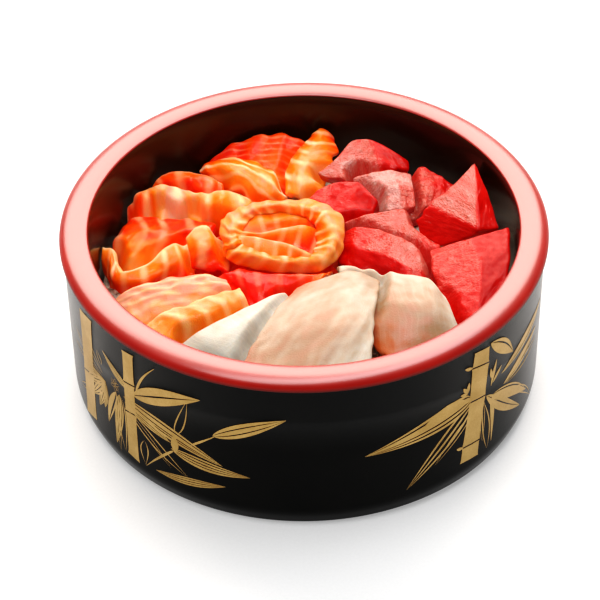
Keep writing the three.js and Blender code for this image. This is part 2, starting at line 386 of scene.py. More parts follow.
right_print = ([], [])
stem(
    right_print,
    [
        ((65.0, 12.0), (74.6, 10.8)),
        ((65.8, 20.4), (75.0, 19.2)),
        ((68.4, 43.0), (77.0, 41.5)),
        ((69.0, 60.4), (78.2, 57.9)),
        ((70.0, 68.0), (78.0, 66.4)),
    ],
    flare=0.35,
)
for drawn in (
    ((79, 67), (95.3, 51.4), 6.4, 0.8, ((-1, 0.3), (0.52, 1)), 0.45),
    ((87.5, 45.6), (129, 52.5), 5.2, 1.2, ((-1, -0.5), (-0.3, 1)), 0.5),
    ((89.5, 38.6), (121, 44.6), 5, 0.4, ((-1, -0.7), (-0.4, 1)), 0.45),
    ((91.5, 37.6), (123, 38), 4, 0.6, OUTLINE, 0.5),
    ((81.5, 38), (112, 18), 6.4, 1.8, ((-1, 0.55), (0.75, 1)), 0.35),
    ((90, 34), (120, 8.5), 3.4, 2.2, OUTLINE, 0.5),
    ((78, 40.5), (105.5, 14.8), 5.6, -1.2, ((-1, 0.1), (0.3, 1)), 0.4),
    ((76, 39.5), (80.2, 11), 4.6, 0.6, OUTLINE, 0.55),
    ((81.8, 37.5), (82.8, 13), 2.6, 0.4, SOLID, 0.2),
    ((77, 38), (77, 17), 2.4, -0.5, OUTLINE, 0.5),
    ((69.5, 45.2), (22.2, 35.2), 10.4, 0, BROAD, 0.26),
    ((68.5, 44), (45.5, 41.5), 7, -2, ((-1, 0.3),), 0.4),
    ((69, 41), (39.6, 11.6), 7.2, -0.4, THREE_LINES, 0.3),
    ((70.5, 37), (52, 19), 3.4, -0.4, OUTLINE, 0.4),
):
    leaf(right_print, *drawn)
for base, tip in (
    ((67.3, 49.0), (64.6, 52.6)),
    ((67.3, 49.0), (67.6, 54.0)),
    ((67.2, 48.6), (63.4, 49.6)),
    ((66.0, 20.4), (62.6, 21.6)),
    ((69.0, 60.6), (65.0, 62.2)),
    ((80.5, 44.0), (83.4, 56.0)),
    ((81.5, 45.0), (87.0, 50.4)),
    ((81.0, 47.5), (79.8, 53.5)),
):
    leaf(right_print, base, tip, 1.5, 0.1, SOLID, 0.5)

# Gold ink for screen printing: fine bronze flakes in a clear binder. It is flat and pale
# rather than mirror-like, and slightly uneven, as the mesh of the screen lays it down.
gold, tree = new_material("gold screen ink")
where = add_node(tree, "TexCoord").outputs["Object"]
flakes = add_node(tree, "TexNoise", {"Vector": where, "Scale": 1500, "Detail": 2})
patches = add_node(tree, "TexNoise", {"Vector": where, "Scale": 90, "Detail": 3})
blend = add_node(tree, "Math", {0: patches, 1: 0.7, 2: 0.0}, operation="MULTIPLY_ADD")
blend = add_node(tree, "Math", {0: flakes, 1: 0.3, 2: blend}, operation="MULTIPLY_ADD")
ink = add_node(tree, "ValToRGB", {"Fac": blend})
set_ramp(ink, [(0.35, "#A68347"), (0.65, "#C3A164")])
grain = add_node(tree, "Bump", {"Height": flakes, "Strength": 0.2, "Distance": 0.0001})
shader = add_node(
    tree,
    "BsdfPrincipled",
    {"Base Color": ink, "Metallic": 0.55, "Roughness": 0.48, "IOR": 1.5, "Normal": grain},
)
add_node(tree, "OutputMaterial", {"Surface": shader})
for name, shapes in (("gold_print_left", left_print), ("gold_print_right", right_print)):
    add_object(name, *shapes, [gold], finish_slot="lacquer")


# ---------------------------------------------------------------- how a slice of fish is laid
# Every slice is cut with a knife: flat, a few millimetres thick, with soft edges. They are laid
# here from the top one down. Each is pressed down under those laid before it and kept inside
# the wall, as they lie on each other in the tub. Sizes are in millimetres.
MAP_CELL = 1.0
MAP_REACH = 92
MAP_SIZE = int(2 * MAP_REACH / MAP_CELL) + 1
OPEN_AIR = 900.0
PRESS_GAP = 0.35
INSIDE_LOW = (82.0, 16.0)
INSIDE_LEAN = 0.0385
WALL_GAP = 0.6
MESH_CELL = (0.8, 0.75, 0.8)
SIDE_THINNING = 0.25
END_TAPER = 0.3
SMALL_STEP = (0.002, 0.004)
LINE_SWAY = 1.1
TONE_SWAY = 0.05

# The height of the lowest point laid so far over each place of the map.
ceiling = np.full((MAP_SIZE, MAP_SIZE), OPEN_AIR)


def between(rows, t, crisp=False):
    """Value at t on the line through the rows: straight between them if crisp, else smooth."""
    if rows.ndim == 2:
        rows = np.broadcast_to(rows, (len(t), *rows.shape))
    before, after = 2 * rows[:, :1] - rows[:, 1:2], 2 * rows[:, -1:] - rows[:, -2:-1]
    padded = np.concatenate([before, rows, after], 1)
    place = t * (rows.shape[1] - 1)
    first = np.clip(np.floor(place).astype(int), 0, rows.shape[1] - 2)
    part = (place - first)[:, None]
    a, b, c, d = (padded[np.arange(len(t)), first + k] for k in range(4))
    if crisp:
        return b + (c - b) * part
    bow, twist = 2 * a - 5 * b + 4 * c - d, 3 * b - a - 3 * c + d
    return 0.5 * (2 * b + (c - a) * part + bow * part**2 + twist * part**3)


def strip(stations):
    """The upper face of a slice that follows a line of stations, each x, y, height, width and
    roll. It is a function of two shares: along, from 0 to 1, and across, from -1 to 1."""
    rows = np.array(stations, float)

    def face(u, v):
        value = between(rows, u)
        after, before = u + SMALL_STEP[0], u - SMALL_STEP[0]
        tangent = between(rows[:, :3], after) - between(rows[:, :3], before)
        tangent /= np.linalg.norm(tangent, axis=1)[:, None]
        left = np.cross([0, 0, 1], tangent)
        left /= np.linalg.norm(left, axis=1)[:, None]
        up = np.cross(tangent, left)
        turn = np.radians(value[:, 4])[:, None]
        left = left * np.cos(turn) + up * np.sin(turn)
        half = value[:, 3] / 2 * (1 - END_TAPER * (2 * u - 1) ** 8)
        return value[:, :3] + left * (v * half)[:, None]

    face.turned = True
    return face


def sheet(rows, crisp=0.0):
    """The upper face of a slice that runs through rows of points, as for a strip. With crisp,
    it is flat between them and folded along them, each fold rounded over that share of it."""
    net = np.array(rows, float)
    diagonals = net[1:, 1:] - net[:-1, :-1], net[:-1, 1:] - net[1:, :-1]
    turned = np.cross(*diagonals)[..., 2].sum() < 0
    if turned:
        net = net[:, ::-1]
    count = net.shape[1]

    def flat(u, v):
        lines = between(net.reshape(len(net), -1), u, crisp > 0).reshape(-1, count, 3)
        return between(lines, (v + 1) / 2, crisp > 0)

    def face(u, v):
        if not crisp:
            return flat(u, v)
        offsets = [(i * crisp / 2, j * crisp) for i in (-1, 0, 1) for j in (-1, 0, 1)]
        return sum(flat(u + du, v + dv) for du, dv in offsets) / len(offsets)

    face.turned = turned
    return face


def shade_at(tones, u, down, patches):
    """How pale the flesh is drawn, from a number or a grid of numbers that covers the slice: one
    for each patch between the folds, or else one for each point of an even net. The paleness
    is partly the flesh's own colour and partly painted light and shade."""
    grid = np.atleast_2d(np.array(tones, float))
    if not patches:
        grid = np.pad(grid, [(0, max(0, 2 - size)) for size in grid.shape], mode="edge")
        lines = between(grid, np.clip(u, 0, 1), True)
        return between(lines[:, :, None], np.clip(down, 0, 1), True)[:, 0]
    blur = 0.02
    total = 0
    for along, across in ((-blur, -blur), (-blur, blur), (blur, -blur), (blur, blur)):
        row = np.clip(((u + along) * grid.shape[0]).astype(int), 0, grid.shape[0] - 1)
        column = np.clip(((down + across) * grid.shape[1]).astype(int), 0, grid.shape[1] - 1)
        total = total + grid[row, column] / 4
    return total


def ripple(x, y, length, seed, waves=5):
    """A smooth uneven field from about -1 to 1, with swells of about that length."""
    dice = np.random.default_rng(seed)
    total = np.zeros_like(x)
    for _ in range(waves):
        turn, phase = dice.uniform(0, 2 * math.pi, 2)
        pace = 2 * math.pi / (length * dice.uniform(0.7, 1.6))
        total += np.sin((x * math.cos(turn) + y * math.sin(turn)) * pace + phase)
    return total / math.sqrt(waves)


def block_skin(cells):
    """The lattice points on the skin of a block and the quads between them."""
    grid = np.full([c + 1 for c in cells], -1)
    on_skin = np.ones(grid.shape, bool)
    on_skin[1:-1, 1:-1, 1:-1] = False
    grid[on_skin] = np.arange(on_skin.sum())
    quads = []
    for side, flip in (
        (grid[:, :, -1], False),
        (grid[:, :, 0], True),
        (grid[:, 0, :], False),
        (grid[:, -1, :], True),
        (grid[-1], False),
        (grid[0], True),
    ):
        four = np.stack([side[:-1, :-1], side[1:, :-1], side[1:, 1:], side[:-1, 1:]], -1)
        four = four.reshape(-1, 4)
        quads.append(four[:, ::-1] if flip else four)
    return np.argwhere(on_skin), np.vstack(quads)


def map_place(values):
    """The cells of the height map that these lengths fall in."""
    return np.clip(np.round((values + MAP_REACH) / MAP_CELL).astype(int), 0, MAP_SIZE - 1)


def widen(field, take, rounds):
    """Grows a height map by taking the largest or smallest of the neighbours."""
    for _ in range(rounds):
        for axis in (0, 1):
            field = take(field, take(np.roll(field, 1, axis), np.roll(field, -1, axis)))
    return field


def soften(field, rounds):
    """Blurs a height map."""
    for _ in range(rounds):
        for axis in (0, 1):
            field = (np.roll(field, 1, axis) + 2 * field + np.roll(field, -1, axis)) / 4
    return field


def press_under(points, most):
    """Moves a slice down where it lies under the slices laid before it, then adds it to them."""
    global ceiling
    column = (map_place(points[:, 0]), map_place(points[:, 1]))
    top = np.full(ceiling.shape, -OPEN_AIR)
    np.maximum.at(top, column, points[:, 2])
    top = widen(top, np.maximum, 1)
    push = np.clip(top - (ceiling - PRESS_GAP), 0, most)
    push[(ceiling > OPEN_AIR / 2) | (top < 0)] = 0
    push = soften(widen(push, np.maximum, 1), 2)
    place = (np.clip(points[:, :2], -MAP_REACH, MAP_REACH - 1.001) + MAP_REACH) / MAP_CELL
    low = place.astype(int)
    part = place - low
    mixed = 0
    for dx, wx in ((0, 1 - part[:, 0]), (1, part[:, 0])):
        for dy, wy in ((0, 1 - part[:, 1]), (1, part[:, 1])):
            mixed = mixed + wx * wy * push[low[:, 0] + dx, low[:, 1] + dy]
    points = points.copy()
    points[:, 2] -= mixed
    under = np.full(ceiling.shape, OPEN_AIR)
    column = (map_place(points[:, 0]), map_place(points[:, 1]))
    np.minimum.at(under, column, points[:, 2])
    ceiling = np.minimum(ceiling, widen(under, np.minimum, 1))
    return points


def lay_slice(node, face, thickness, material, finish_slot, looks, **form):
    """Shapes one slice of fish from its upper face, lays it and gives it its markings.

    looks: spacing of the lines of fat, or the number of bands between them, and their start,
    slant, chevron and arch. fat, how plain they are, and ridge, how far they stand up. tone,
    how pale the flesh is drawn, partly its own colour and partly painted light and shade. rind,
    how plain the cream line along the upper edge is, partly fat and partly painted highlight.
    form: edge, the radius of the cut edges. relief, the height of the unevenness of the face,
    swell, its length, and fine, the share of the smaller ripples in it. ragged, the unevenness
    of the outline. press, the most that it is pressed down. patches, whether the tone is given
    patch by patch."""
    seed = sum(ord(letter) * (place + 3) for place, letter in enumerate(node))
    edge, relief = form.get("edge", 1.2), form.get("relief", 0.35)
    steps = np.linspace(0, 1, 65)
    spine = face(steps, np.zeros_like(steps))
    length = np.linalg.norm(np.diff(spine, axis=0), axis=1).sum()
    lanes = [face(steps, np.full_like(steps, v)) for v in np.linspace(-1, 1, 13)]
    breadth = np.linalg.norm(np.diff(lanes, axis=0), axis=2).sum(0)
    sizes = (length, breadth.max(), thickness)
    cells = [max(5, int(size / cell)) for size, cell in zip(sizes, MESH_CELL)]
    lattice, quads = block_skin(cells)
    share = lattice / np.array(cells)
    end, across = 2 * share[:, 0] - 1, 2 * share[:, 1] - 1
    half = np.interp(share[:, 0], steps, breadth) / 2
    thin = thickness * (1 - SIDE_THINNING * np.abs(across) ** 4)
    box = np.stack([share[:, 0] * length, across * half, (share[:, 2] - 1) * thin], -1)
    low = np.stack([np.full_like(end, edge), edge - half, edge - thin], -1)
    high = np.stack([np.full_like(end, length - edge), half - edge, np.full_like(end, -edge)], -1)
    core = np.clip(box, low, np.maximum(low, high))
    away = box - core
    box = core + away / np.maximum(np.linalg.norm(away, axis=1), 1e-6)[:, None] * edge
    swell = form.get("swell", 9)
    uneven = ripple(box[:, 0], box[:, 1], swell, seed + 1, 9)
    uneven += form.get("fine", 0.3) * ripple(box[:, 0], box[:, 1], swell * 0.4, seed + 2, 9)

    slant = math.radians(looks.get("slant", 0))
    run = box[:, 0] * math.cos(slant) + box[:, 1] * math.sin(slant)
    bent = looks.get("chevron", 0.0) * np.abs(box[:, 1])
    arch = looks.get("arch", 0.0) * (box[:, 1] / half) ** 2
    sway = LINE_SWAY * ripple(box[:, 0], box[:, 1], 19, seed + 3)
    sway += 0.12 * LINE_SWAY * ripple(box[:, 0], box[:, 1], 6, seed + 4)
    spacing = length / looks["bands"] if "bands" in looks else looks.get("spacing", 6.0)
    phase = (run + bent + arch + sway) / spacing + looks.get("start", 0.0)
    ridges = -np.cos(2 * math.pi * phase) * looks.get("ridge", 0.12)
    lift = box[:, 2] + (relief * uneven + ridges) * share[:, 2]

    u = box[:, 0] / length
    rough_edge = form.get("ragged", 0.05) * np.abs(across) ** 3
    v = box[:, 1] / half * (1 + rough_edge * ripple(box[:, 0], across * 3, 8, seed))
    u = u + rough_edge * 0.5 * np.abs(end) ** 6 * ripple(box[:, 1], end * 3, 6, seed + 7)
    du = face(u + SMALL_STEP[0], v) - face(u - SMALL_STEP[0], v)
    dv = face(u, v + SMALL_STEP[1]) - face(u, v - SMALL_STEP[1])
    normal = np.cross(du, dv)
    normal /= np.linalg.norm(normal, axis=1)[:, None]
    points = face(u, v) + normal * lift[:, None]

    points = press_under(points, form.get("press", 9.0))
    limit = INSIDE_LOW[0] + (points[:, 2] - INSIDE_LOW[1]) * INSIDE_LEAN - WALL_GAP
    radius = np.linalg.norm(points[:, :2], axis=1)
    points[:, :2] *= np.minimum(1, limit / np.maximum(radius, 1))[:, None]

    name = node + "_flesh"
    made = add_object(name, points, quads, [material], parts=[node], finish_slot=finish_slot)
    # The paleness looked up from the grid is partly painted light and shade: pale where a part is
    # lit, dark where it lies in shade.
    upward = across if face.turned else -across
    tone_and_shade = shade_at(looks.get("tone_and_shade", 0.5), share[:, 0], (1 - upward) / 2, form.get("patches"))
    tone_and_shade += TONE_SWAY * ripple(box[:, 0], box[:, 1], 7, seed + 5)
    strength = looks.get("fat", 1.0) * (0.72 + 0.28 * ripple(box[:, 0], box[:, 1], 14, seed + 6))
    # The lines of fat grow plainer toward the upper edge and a cream line runs along it: partly
    # fat, partly a painted highlight where the edge catches the light.
    strength *= 1 + 0.55 * upward
    rind_and_highlight = np.clip((upward - 0.72) / 0.22, 0, 1) * looks.get("rind_and_highlight", 0.0)
    rind_and_highlight *= 0.8 + 0.3 * ripple(box[:, 0], box[:, 1], 9, seed + 8)
    for label, kind, numbers in (
        ("flesh", "FLOAT_VECTOR", box + np.array([seed % 97, seed % 89, 0])),
        ("phase", "FLOAT", phase),
        ("tone_and_shade", "FLOAT", tone_and_shade),
        ("fat", "FLOAT", np.clip(strength, 0, 1.2)),
        ("rind_and_highlight", "FLOAT", np.clip(rind_and_highlight, 0, 1)),
        ("depth", "FLOAT", 1 - share[:, 2]),
    ):
        layer = made.data.attributes.new(label, kind, "POINT")
        field = "vector" if kind == "FLOAT_VECTOR" else "value"
        layer.data.foreach_set(field, np.asarray(numbers, np.float32).ravel())


# ---------------------------------------------------------------- the salmon
# Fourteen slices of raw salmon, up to 4.5 mm thick. The seven laid here are stood on edge in
# the middle and at the left, coiled to a rosette or bent to waves. The flesh is in flakes a
# few millimetres wide, with a cream line of fat between each two.
SALMON_THICKNESS = 4.5


def shifted(tree, value, noise, reach):
    """A value that a noise moves up and down by no more than that reach."""
    shift = add_node(tree, "MapRange", {"Value": noise, "To Min": -reach, "To Max": reach})
    return add_node(tree, "Math", {0: value, 1: shift}, operation="ADD")


# Raw salmon: wet, translucent flesh that light enters by some millimetres. Its colour runs from
# deep red-orange to pale orange with the paleness of each part, which is partly painted light and
# shade: pale on lit crests and upper edges, deep red as painted shade in folds and at lower edges.
# A faint painted glow stands for the light that has passed through. Lines of fat are cream and
# soft-edged, and the water gives small sharp glints.
salmon_flesh, tree = new_material("raw salmon")
place = add_node(tree, "Attribute", attribute_name="flesh").outputs["Vector"]
tone_and_shade, phase, fat, rind_and_highlight = (
    add_node(tree, "Attribute", attribute_name=label).outputs["Fac"]
    for label in ("tone_and_shade", "phase", "fat", "rind_and_highlight")
)
mottle = add_node(tree, "TexNoise", {"Vector": place, "Scale": 0.35, "Detail": 3})
fibre = add_node(tree, "TexNoise", {"Vector": place, "Scale": 1.9, "Detail": 3})
level = shifted(tree, tone_and_shade, mottle, 0.09)
flesh = add_node(tree, "ValToRGB", {"Fac": level})
set_ramp(
    flesh,
    [
        (0.0, "#D81200"),
        (0.22, "#EC3000"),
        (0.45, "#F45800"),
        (0.68, "#F07818"),
        (0.85, "#EA9150"),
        (1.0, "#DF9072"),
    ],
)
lines = shifted(tree, phase, fibre, 0.05)
lines = add_node(tree, "Math", {0: lines}, operation="FRACT")
lines = add_node(tree, "Math", {0: lines, 1: 0.5}, operation="SUBTRACT")
lines = add_node(tree, "Math", {0: lines}, operation="ABSOLUTE")
lines = add_node(
    tree,
    "MapRange",
    {"Value": lines, "From Min": 0.3, "From Max": 0.0, "To Min": 0.0, "To Max": 0.8},
    interpolation_type="SMOOTHERSTEP",
)
lines = add_node(tree, "Math", {0: lines, 1: fat}, operation="MULTIPLY", use_clamp=True)
lines = add_node(tree, "Math", {0: lines, 1: rind_and_highlight}, operation="MAXIMUM")
surface = add_node(
    tree, "Mix", {"Factor": lines, 6: flesh, 7: colour("#FBD3A2")}, data_type="RGBA"
)
fine = add_node(tree, "Bump", {"Height": fibre, "Strength": 0.45, "Distance": 0.0005})
wet = add_node(tree, "MapRange", {"Value": mottle, "To Min": 0.24, "To Max": 0.46})
shader = add_node(
    tree,
    "BsdfPrincipled",
    {
        "Base Color": surface.outputs[2],
        "Roughness": wet,
        "IOR": 1.38,
        "Subsurface Weight": 0.55,
        "Subsurface Radius": (1.0, 0.36, 0.12),
        "Subsurface Scale": 0.003,
        "Specular IOR Level": 0.12,
        "Coat Weight": 0.55,
        "Coat Roughness": 0.13,
        "Coat IOR": 1.34,
        # A faint painted glow of the flesh colour.
        "Emission Color": flesh,
        "Emission Strength": 0.07,
        "Normal": fine,
    },
)
add_node(tree, "OutputMaterial", {"Surface": shader})


def lay_salmon(node, rows, looks, thickness=SALMON_THICKNESS, **form):
    """A slice of salmon."""
    lay_slice(node, sheet(rows), thickness, salmon_flesh, "salmon", looks, **form)


# The rosette: one long slice coiled on edge, and a second one folded within it.
# The paleness of both slices is partly painted light and shade: pale on the lit crests, deep red in
# the folds and in the gaps between the inner strands.
lay_salmon(
    "salmon_rose",
    [
        [(-26, 11, 58), (-30, 10, 57), (-33, 9, 52)],
        [(-25, 5.5, 60.5), (-28, 1.5, 59.5), (-30.5, 1, 54)],
        [(-17, -0.5, 61), (-18.5, -3.5, 60.5), (-20.5, -3.5, 54)],
        [(-6.5, -4, 61), (-7.5, -7, 60.5), (-8, -7.5, 54)],
        [(1, -2.5, 60), (4, -5.5, 60), (6, -6.5, 54)],
        [(4, 5, 58.5), (10.5, 0.5, 61), (14.5, 1, 56)],
        [(4.5, 13, 58.5), (12, 9, 63), (17, 12.5, 58)],
        [(3.5, 18.5, 60), (9, 19, 64), (15.5, 24.5, 60)],
        [(-1.5, 21.5, 60.5), (1, 24, 64.5), (4, 31, 62)],
        [(-9, 23.5, 60.5), (-9.5, 25, 64.5), (-9, 32, 62)],
        [(-16.5, 23.5, 60.5), (-18.5, 24.5, 64), (-20, 31.5, 61.5)],
        [(-22, 19.5, 60.5), (-25, 20.5, 63.5), (-28.5, 28.5, 60)],
        [(-24.5, 14, 60.5), (-30, 14, 62.5), (-34.5, 23, 58)],
        [(-25.5, 10, 60), (-30, 8.5, 61.5), (-34, 13.5, 56)],
        [(-24.5, 6.5, 60.5), (-28.5, 3, 61), (-33, 4.5, 55)],
    ],
    {
        "bands": 21,
        "chevron": 0.35,
        "tone_and_shade": [
            [0.5, 0.8, 0.4],
            [0.55, 0.85, 0.6],
            [0.5, 0.85, 0.75],
            [0.35, 0.85, 0.8],
            [0.4, 0.9, 0.85],
            [0.6, 0.85, 0.9],
            [0.85, 0.9, 0.9],
            [0.7, 0.9, 0.8],
            [0.5, 0.85, 0.5],
        ],
        "fat": 0.55,
        "ridge": 0.3,
    },
    thickness=4,
    press=0,
)
lay_salmon(
    "salmon_rose_heart",
    [
        [
            (-27, 4, 57), (-27, 8, 61), (-27, 10.5, 61), (-27, 12, 61),
            (-26.5, 14.5, 59), (-26, 18, 60), (-25, 24, 60),
        ],
        [
            (-18, -1, 57), (-18, 5.5, 62.5), (-18, 8, 60), (-18, 9.8, 62),
            (-17, 14.5, 58), (-16.5, 19.5, 60), (-16, 26, 60),
        ],
        [
            (-8, -4, 57), (-8, 1.8, 62.8), (-8, 6.5, 58), (-7.5, 12.3, 62.3),
            (-7, 16.5, 58), (-6.5, 20.5, 61), (-6.5, 26, 60),
        ],
        [
            (-1, -5, 56), (-0.5, -2, 62), (0, 5, 56), (0.5, 14.5, 61.5),
            (0.5, 18, 57), (1, 21.5, 60), (1, 26.5, 59),
        ],
        [
            (8, -4, 54), (8, -3, 56.5), (8.5, 6, 54), (9, 15.5, 55.5),
            (9, 18.5, 54.5), (8, 22, 56), (5, 27, 57),
        ],
    ],
    {
        "bands": 5,
        "chevron": 0.3,
        "tone_and_shade": [
            [0.6, 0.85, 0.7, 0.85, 0.5, 0.7, 0.7],
            [0.5, 0.95, 0.4, 0.95, 0.35, 0.65, 0.6],
            [0.5, 0.95, 0.2, 0.95, 0.4, 0.7, 0.65],
            [0.4, 0.9, 0.05, 0.85, 0.3, 0.7, 0.5],
            [0.2, 0.35, 0.0, 0.1, 0.0, 0.2, 0.2],
        ],
        "fat": 0.5,
        "ridge": 0.0,
    },
    thickness=2.6,
    relief=0.2,
    press=0,
)

# The waves on the left: slices stood on edge and bent to and fro, and one bent to an arch.
# Each row of points runs from the upper edge to the lower one.
# Along each row the paleness falls from the lit upper edge to deep red at the lower one: painted
# light and painted shade.
lay_salmon(
    "salmon_arch",
    [
        [(-48.5, 12, 59), (-47, 3.5, 57), (-46, -1, 52)],
        [(-44, 15.5, 61.5), (-43, 4, 60), (-42, -3, 53)],
        [(-39, 16.5, 62.5), (-38, 3, 61), (-37.5, -4, 54)],
        [(-34.5, 16, 62), (-33.5, 3, 60.5), (-33.5, -3.5, 54)],
        [(-30.5, 13, 60), (-30, 4, 58), (-30.5, -2.5, 54)],
    ],
    {"bands": 1.6, "tone_and_shade": [[0.85, 0.5, 0.1]], "fat": 0.6, "rind_and_highlight": 0.8},
    thickness=4,
)
lay_salmon(
    "salmon_wave_front",
    [
        [(-84, 11.5, 54), (-83.5, 9, 51), (-83, 7.5, 47)],
        [(-82, 11.5, 55), (-82, 5.5, 52.5), (-81.5, 2, 47)],
        [(-78, 8.5, 55.5), (-79, 2, 53), (-79.5, -3, 47)],
        [(-76.5, 2, 54.5), (-77.5, -3.5, 52), (-78.5, -5.5, 46.5)],
        [(-74, -3.5, 54), (-75, -7, 51), (-75, -9, 46)],
        [(-70, -3, 54.5), (-70, -8, 52), (-69.5, -9.5, 46)],
        [(-64.5, -0.5, 55), (-64, -7, 53), (-63, -8, 47)],
        [(-59.5, 4, 56.5), (-58, -4.5, 55), (-58.5, -6, 48)],
        [(-55, 9, 58), (-53.5, -2, 57), (-53.5, -6.5, 50)],
        [(-50.5, 11, 58), (-49, 0.5, 57), (-48, -5.5, 51)],
        [(-46, 13.5, 60), (-44.5, 2.5, 58.5), (-44, -2.5, 52)],
    ],
    {
        "bands": 7,
        "chevron": 0.15,
        "start": 0.3,
        "tone_and_shade": [[0.75, 0.6, 0.2], [0.6, 0.45, 0.15], [0.7, 0.55, 0.15], [0.85, 0.6, 0.1]],
        "fat": 0.6,
        "rind_and_highlight": 0.8,
    },
)
lay_salmon(
    "salmon_wave_inner",
    [
        [(-79.5, 19, 49), (-78.5, 13.5, 54), (-78, 10, 53), (-78.5, 7.5, 50)],
        [(-73.5, 32, 51), (-74, 17.5, 57), (-74.5, 7.5, 56), (-75, 1, 51.5)],
        [(-66.5, 35.5, 51), (-67, 19.5, 58), (-68, 8, 57), (-70, 0, 51.5)],
        [(-60, 35, 51), (-60.5, 18.5, 58), (-62, 9.5, 57), (-64, 1.5, 52)],
        [(-53, 35, 51), (-54.5, 17.5, 57.5), (-56, 12, 57), (-58, 6.5, 52.5)],
        [(-45.5, 32, 52), (-47.5, 19.5, 57), (-48, 16, 56), (-48, 12.5, 53)],
        [(-36, 27, 54), (-37, 22, 55.5), (-37.5, 18, 55), (-38, 13, 52)],
    ],
    {
        "bands": 4,
        "arch": 5,
        "tone_and_shade": [
            [0.2, 0.35, 0.6, 0.8],
            [0.15, 0.3, 0.6, 0.9],
            [0.15, 0.25, 0.4, 0.6],
            [0.1, 0.15, 0.2, 0.2],
        ],
        "fat": 0.4,
    },
)
lay_salmon(
    "salmon_wave_left",
    [
        [(-74, 38, 55), (-74, 34, 54), (-73.5, 33, 49)],
        [(-69.5, 41.5, 59), (-69.5, 30.5, 59.5), (-69, 28, 52)],
        [(-65.5, 46, 58), (-64.5, 35.5, 56.5), (-63.5, 28, 51)],
        [(-59, 44.5, 61), (-58.5, 30, 61.5), (-58, 24.5, 53)],
        [(-52, 46, 58.5), (-51, 34, 56.5), (-51, 27, 51)],
        [(-46, 40.5, 60.5), (-45.5, 27.5, 61), (-45.5, 24.5, 53)],
        [(-40, 42.5, 58), (-39.5, 32.5, 57), (-39.5, 28, 51)],
        [(-34, 41.5, 60.5), (-34, 29, 61), (-33.5, 25.5, 54)],
        [(-27.5, 42.5, 58), (-27, 34, 57), (-27.5, 29.5, 54)],
        [(-21.5, 38, 58), (-21.5, 34.5, 57), (-23, 32.5, 55)],
    ],
    {
        "bands": 4.5,
        "start": 0.5,
        "chevron": 0.12,
        "tone_and_shade": [
            [0.25, 0.15, 0.0],
            [0.5, 0.4, 0.05],
            [1.1, 1.1, 0.1],
            [0.8, 0.55, 0.1],
            [0.9, 0.6, 0.05],
            [0.85, 0.6, 0.05],
        ],
        "fat": 0.8,
        "rind_and_highlight": 0.5,
    },
)
lay_salmon(
    "salmon_wave_left_back",
    [
        [(-64, 52.5, 54), (-63.5, 50.5, 54), (-62.5, 49, 50)],
        [(-59, 55.5, 58), (-58, 50.5, 57), (-57, 47.5, 51)],
        [(-51, 56, 59.5), (-50, 48.5, 59), (-49, 45, 52)],
        [(-42, 54.5, 58.5), (-41.5, 47.5, 58), (-41.5, 43.5, 52)],
        [(-33, 50.5, 56), (-33, 45, 56), (-35, 40.5, 52)],
    ],
    {"bands": 3, "tone_and_shade": [[0.4, 0.3, 0.15]], "fat": 0.5, "rind_and_highlight": 0.5},
)


# ---------------------------------------------------------------- the white fish
# Four thin slices of raw white fish, sea bream or the like, 4 mm thick, draped towards the
# front of the tub. The flesh is cream to peach, with a fine grain and a pinker skin side. Their
# cream highlights are partly painted, and the tan and deep orange in their hollows is painted
# shade.
WHITE_THICKNESS = 4.0

# Raw white fish: nearly colourless wet flesh that scatters light; the fibres show as fine lines.
# Its colour runs from cream through peach to deep orange with the paleness of each part, which
# is partly painted light and shade: cream as painted highlight on lit folds, tan to deep orange
# as painted shade where the flesh slopes away or lies in a hollow.
white_flesh, tree = new_material("raw white fish")
place = add_node(tree, "Attribute", attribute_name="flesh").outputs["Vector"]
tone_and_shade, phase, fat, rind_and_highlight = (
    add_node(tree, "Attribute", attribute_name=label).outputs["Fac"]
    for label in ("tone_and_shade", "phase", "fat", "rind_and_highlight")
)
mottle = add_node(tree, "TexNoise", {"Vector": place, "Scale": 0.22, "Detail": 4})
fibre = add_node(tree, "TexNoise", {"Vector": place, "Scale": 1.6, "Detail": 4})
level = shifted(tree, tone_and_shade, mottle, 0.16)
flesh = add_node(tree, "ValToRGB", {"Fac": level})
set_ramp(
    flesh,
    [(0.0, "#C8C2B5"), (0.3, "#BAA690"), (0.55, "#B0896B"), (0.78, "#B87B60"), (1.0, "#B6541E")],
)
lines = add_node(tree, "Math", {0: phase, 1: 2 * math.pi}, operation="MULTIPLY")
lines = add_node(tree, "Math", {0: lines}, operation="COSINE")
lines = add_node(tree, "MapRange", {"Value": lines, "From Min": 0.3, "From Max": 1.0})
lines = add_node(tree, "Math", {0: lines, 1: fat}, operation="MULTIPLY")
lines = add_node(tree, "Math", {0: lines, 1: 0.5}, operation="MULTIPLY", use_clamp=True)
lines = add_node(tree, "Math", {0: lines, 1: rind_and_highlight}, operation="MAXIMUM")
surface = add_node(
    tree, "Mix", {"Factor": lines, 6: flesh, 7: colour("#EFE2CC")}, data_type="RGBA"
)
fine = add_node(tree, "Bump", {"Height": fibre, "Strength": 0.4, "Distance": 0.0005})
wet = add_node(tree, "MapRange", {"Value": mottle, "To Min": 0.28, "To Max": 0.5})
shader = add_node(
    tree,
    "BsdfPrincipled",
    {
        "Base Color": surface.outputs[2],
        "Roughness": wet,
        "IOR": 1.37,
        "Subsurface Weight": 0.5,
        "Subsurface Radius": (1.0, 0.62, 0.4),
        "Subsurface Scale": 0.003,
        "Coat Weight": 0.3,
        "Coat Roughness": 0.2,
        "Coat IOR": 1.34,
        "Normal": fine,
    },
)
add_node(tree, "OutputMaterial", {"Surface": shader})


def lay_white(node, rows, looks, **form):
    """A slice of white fish, with a thin, uneven edge."""
    form = {"relief": 0.14, "swell": 17, "ragged": 0.03, **form}
    lay_slice(node, sheet(rows), WHITE_THICKNESS, white_flesh, "white_fish", looks, **form)
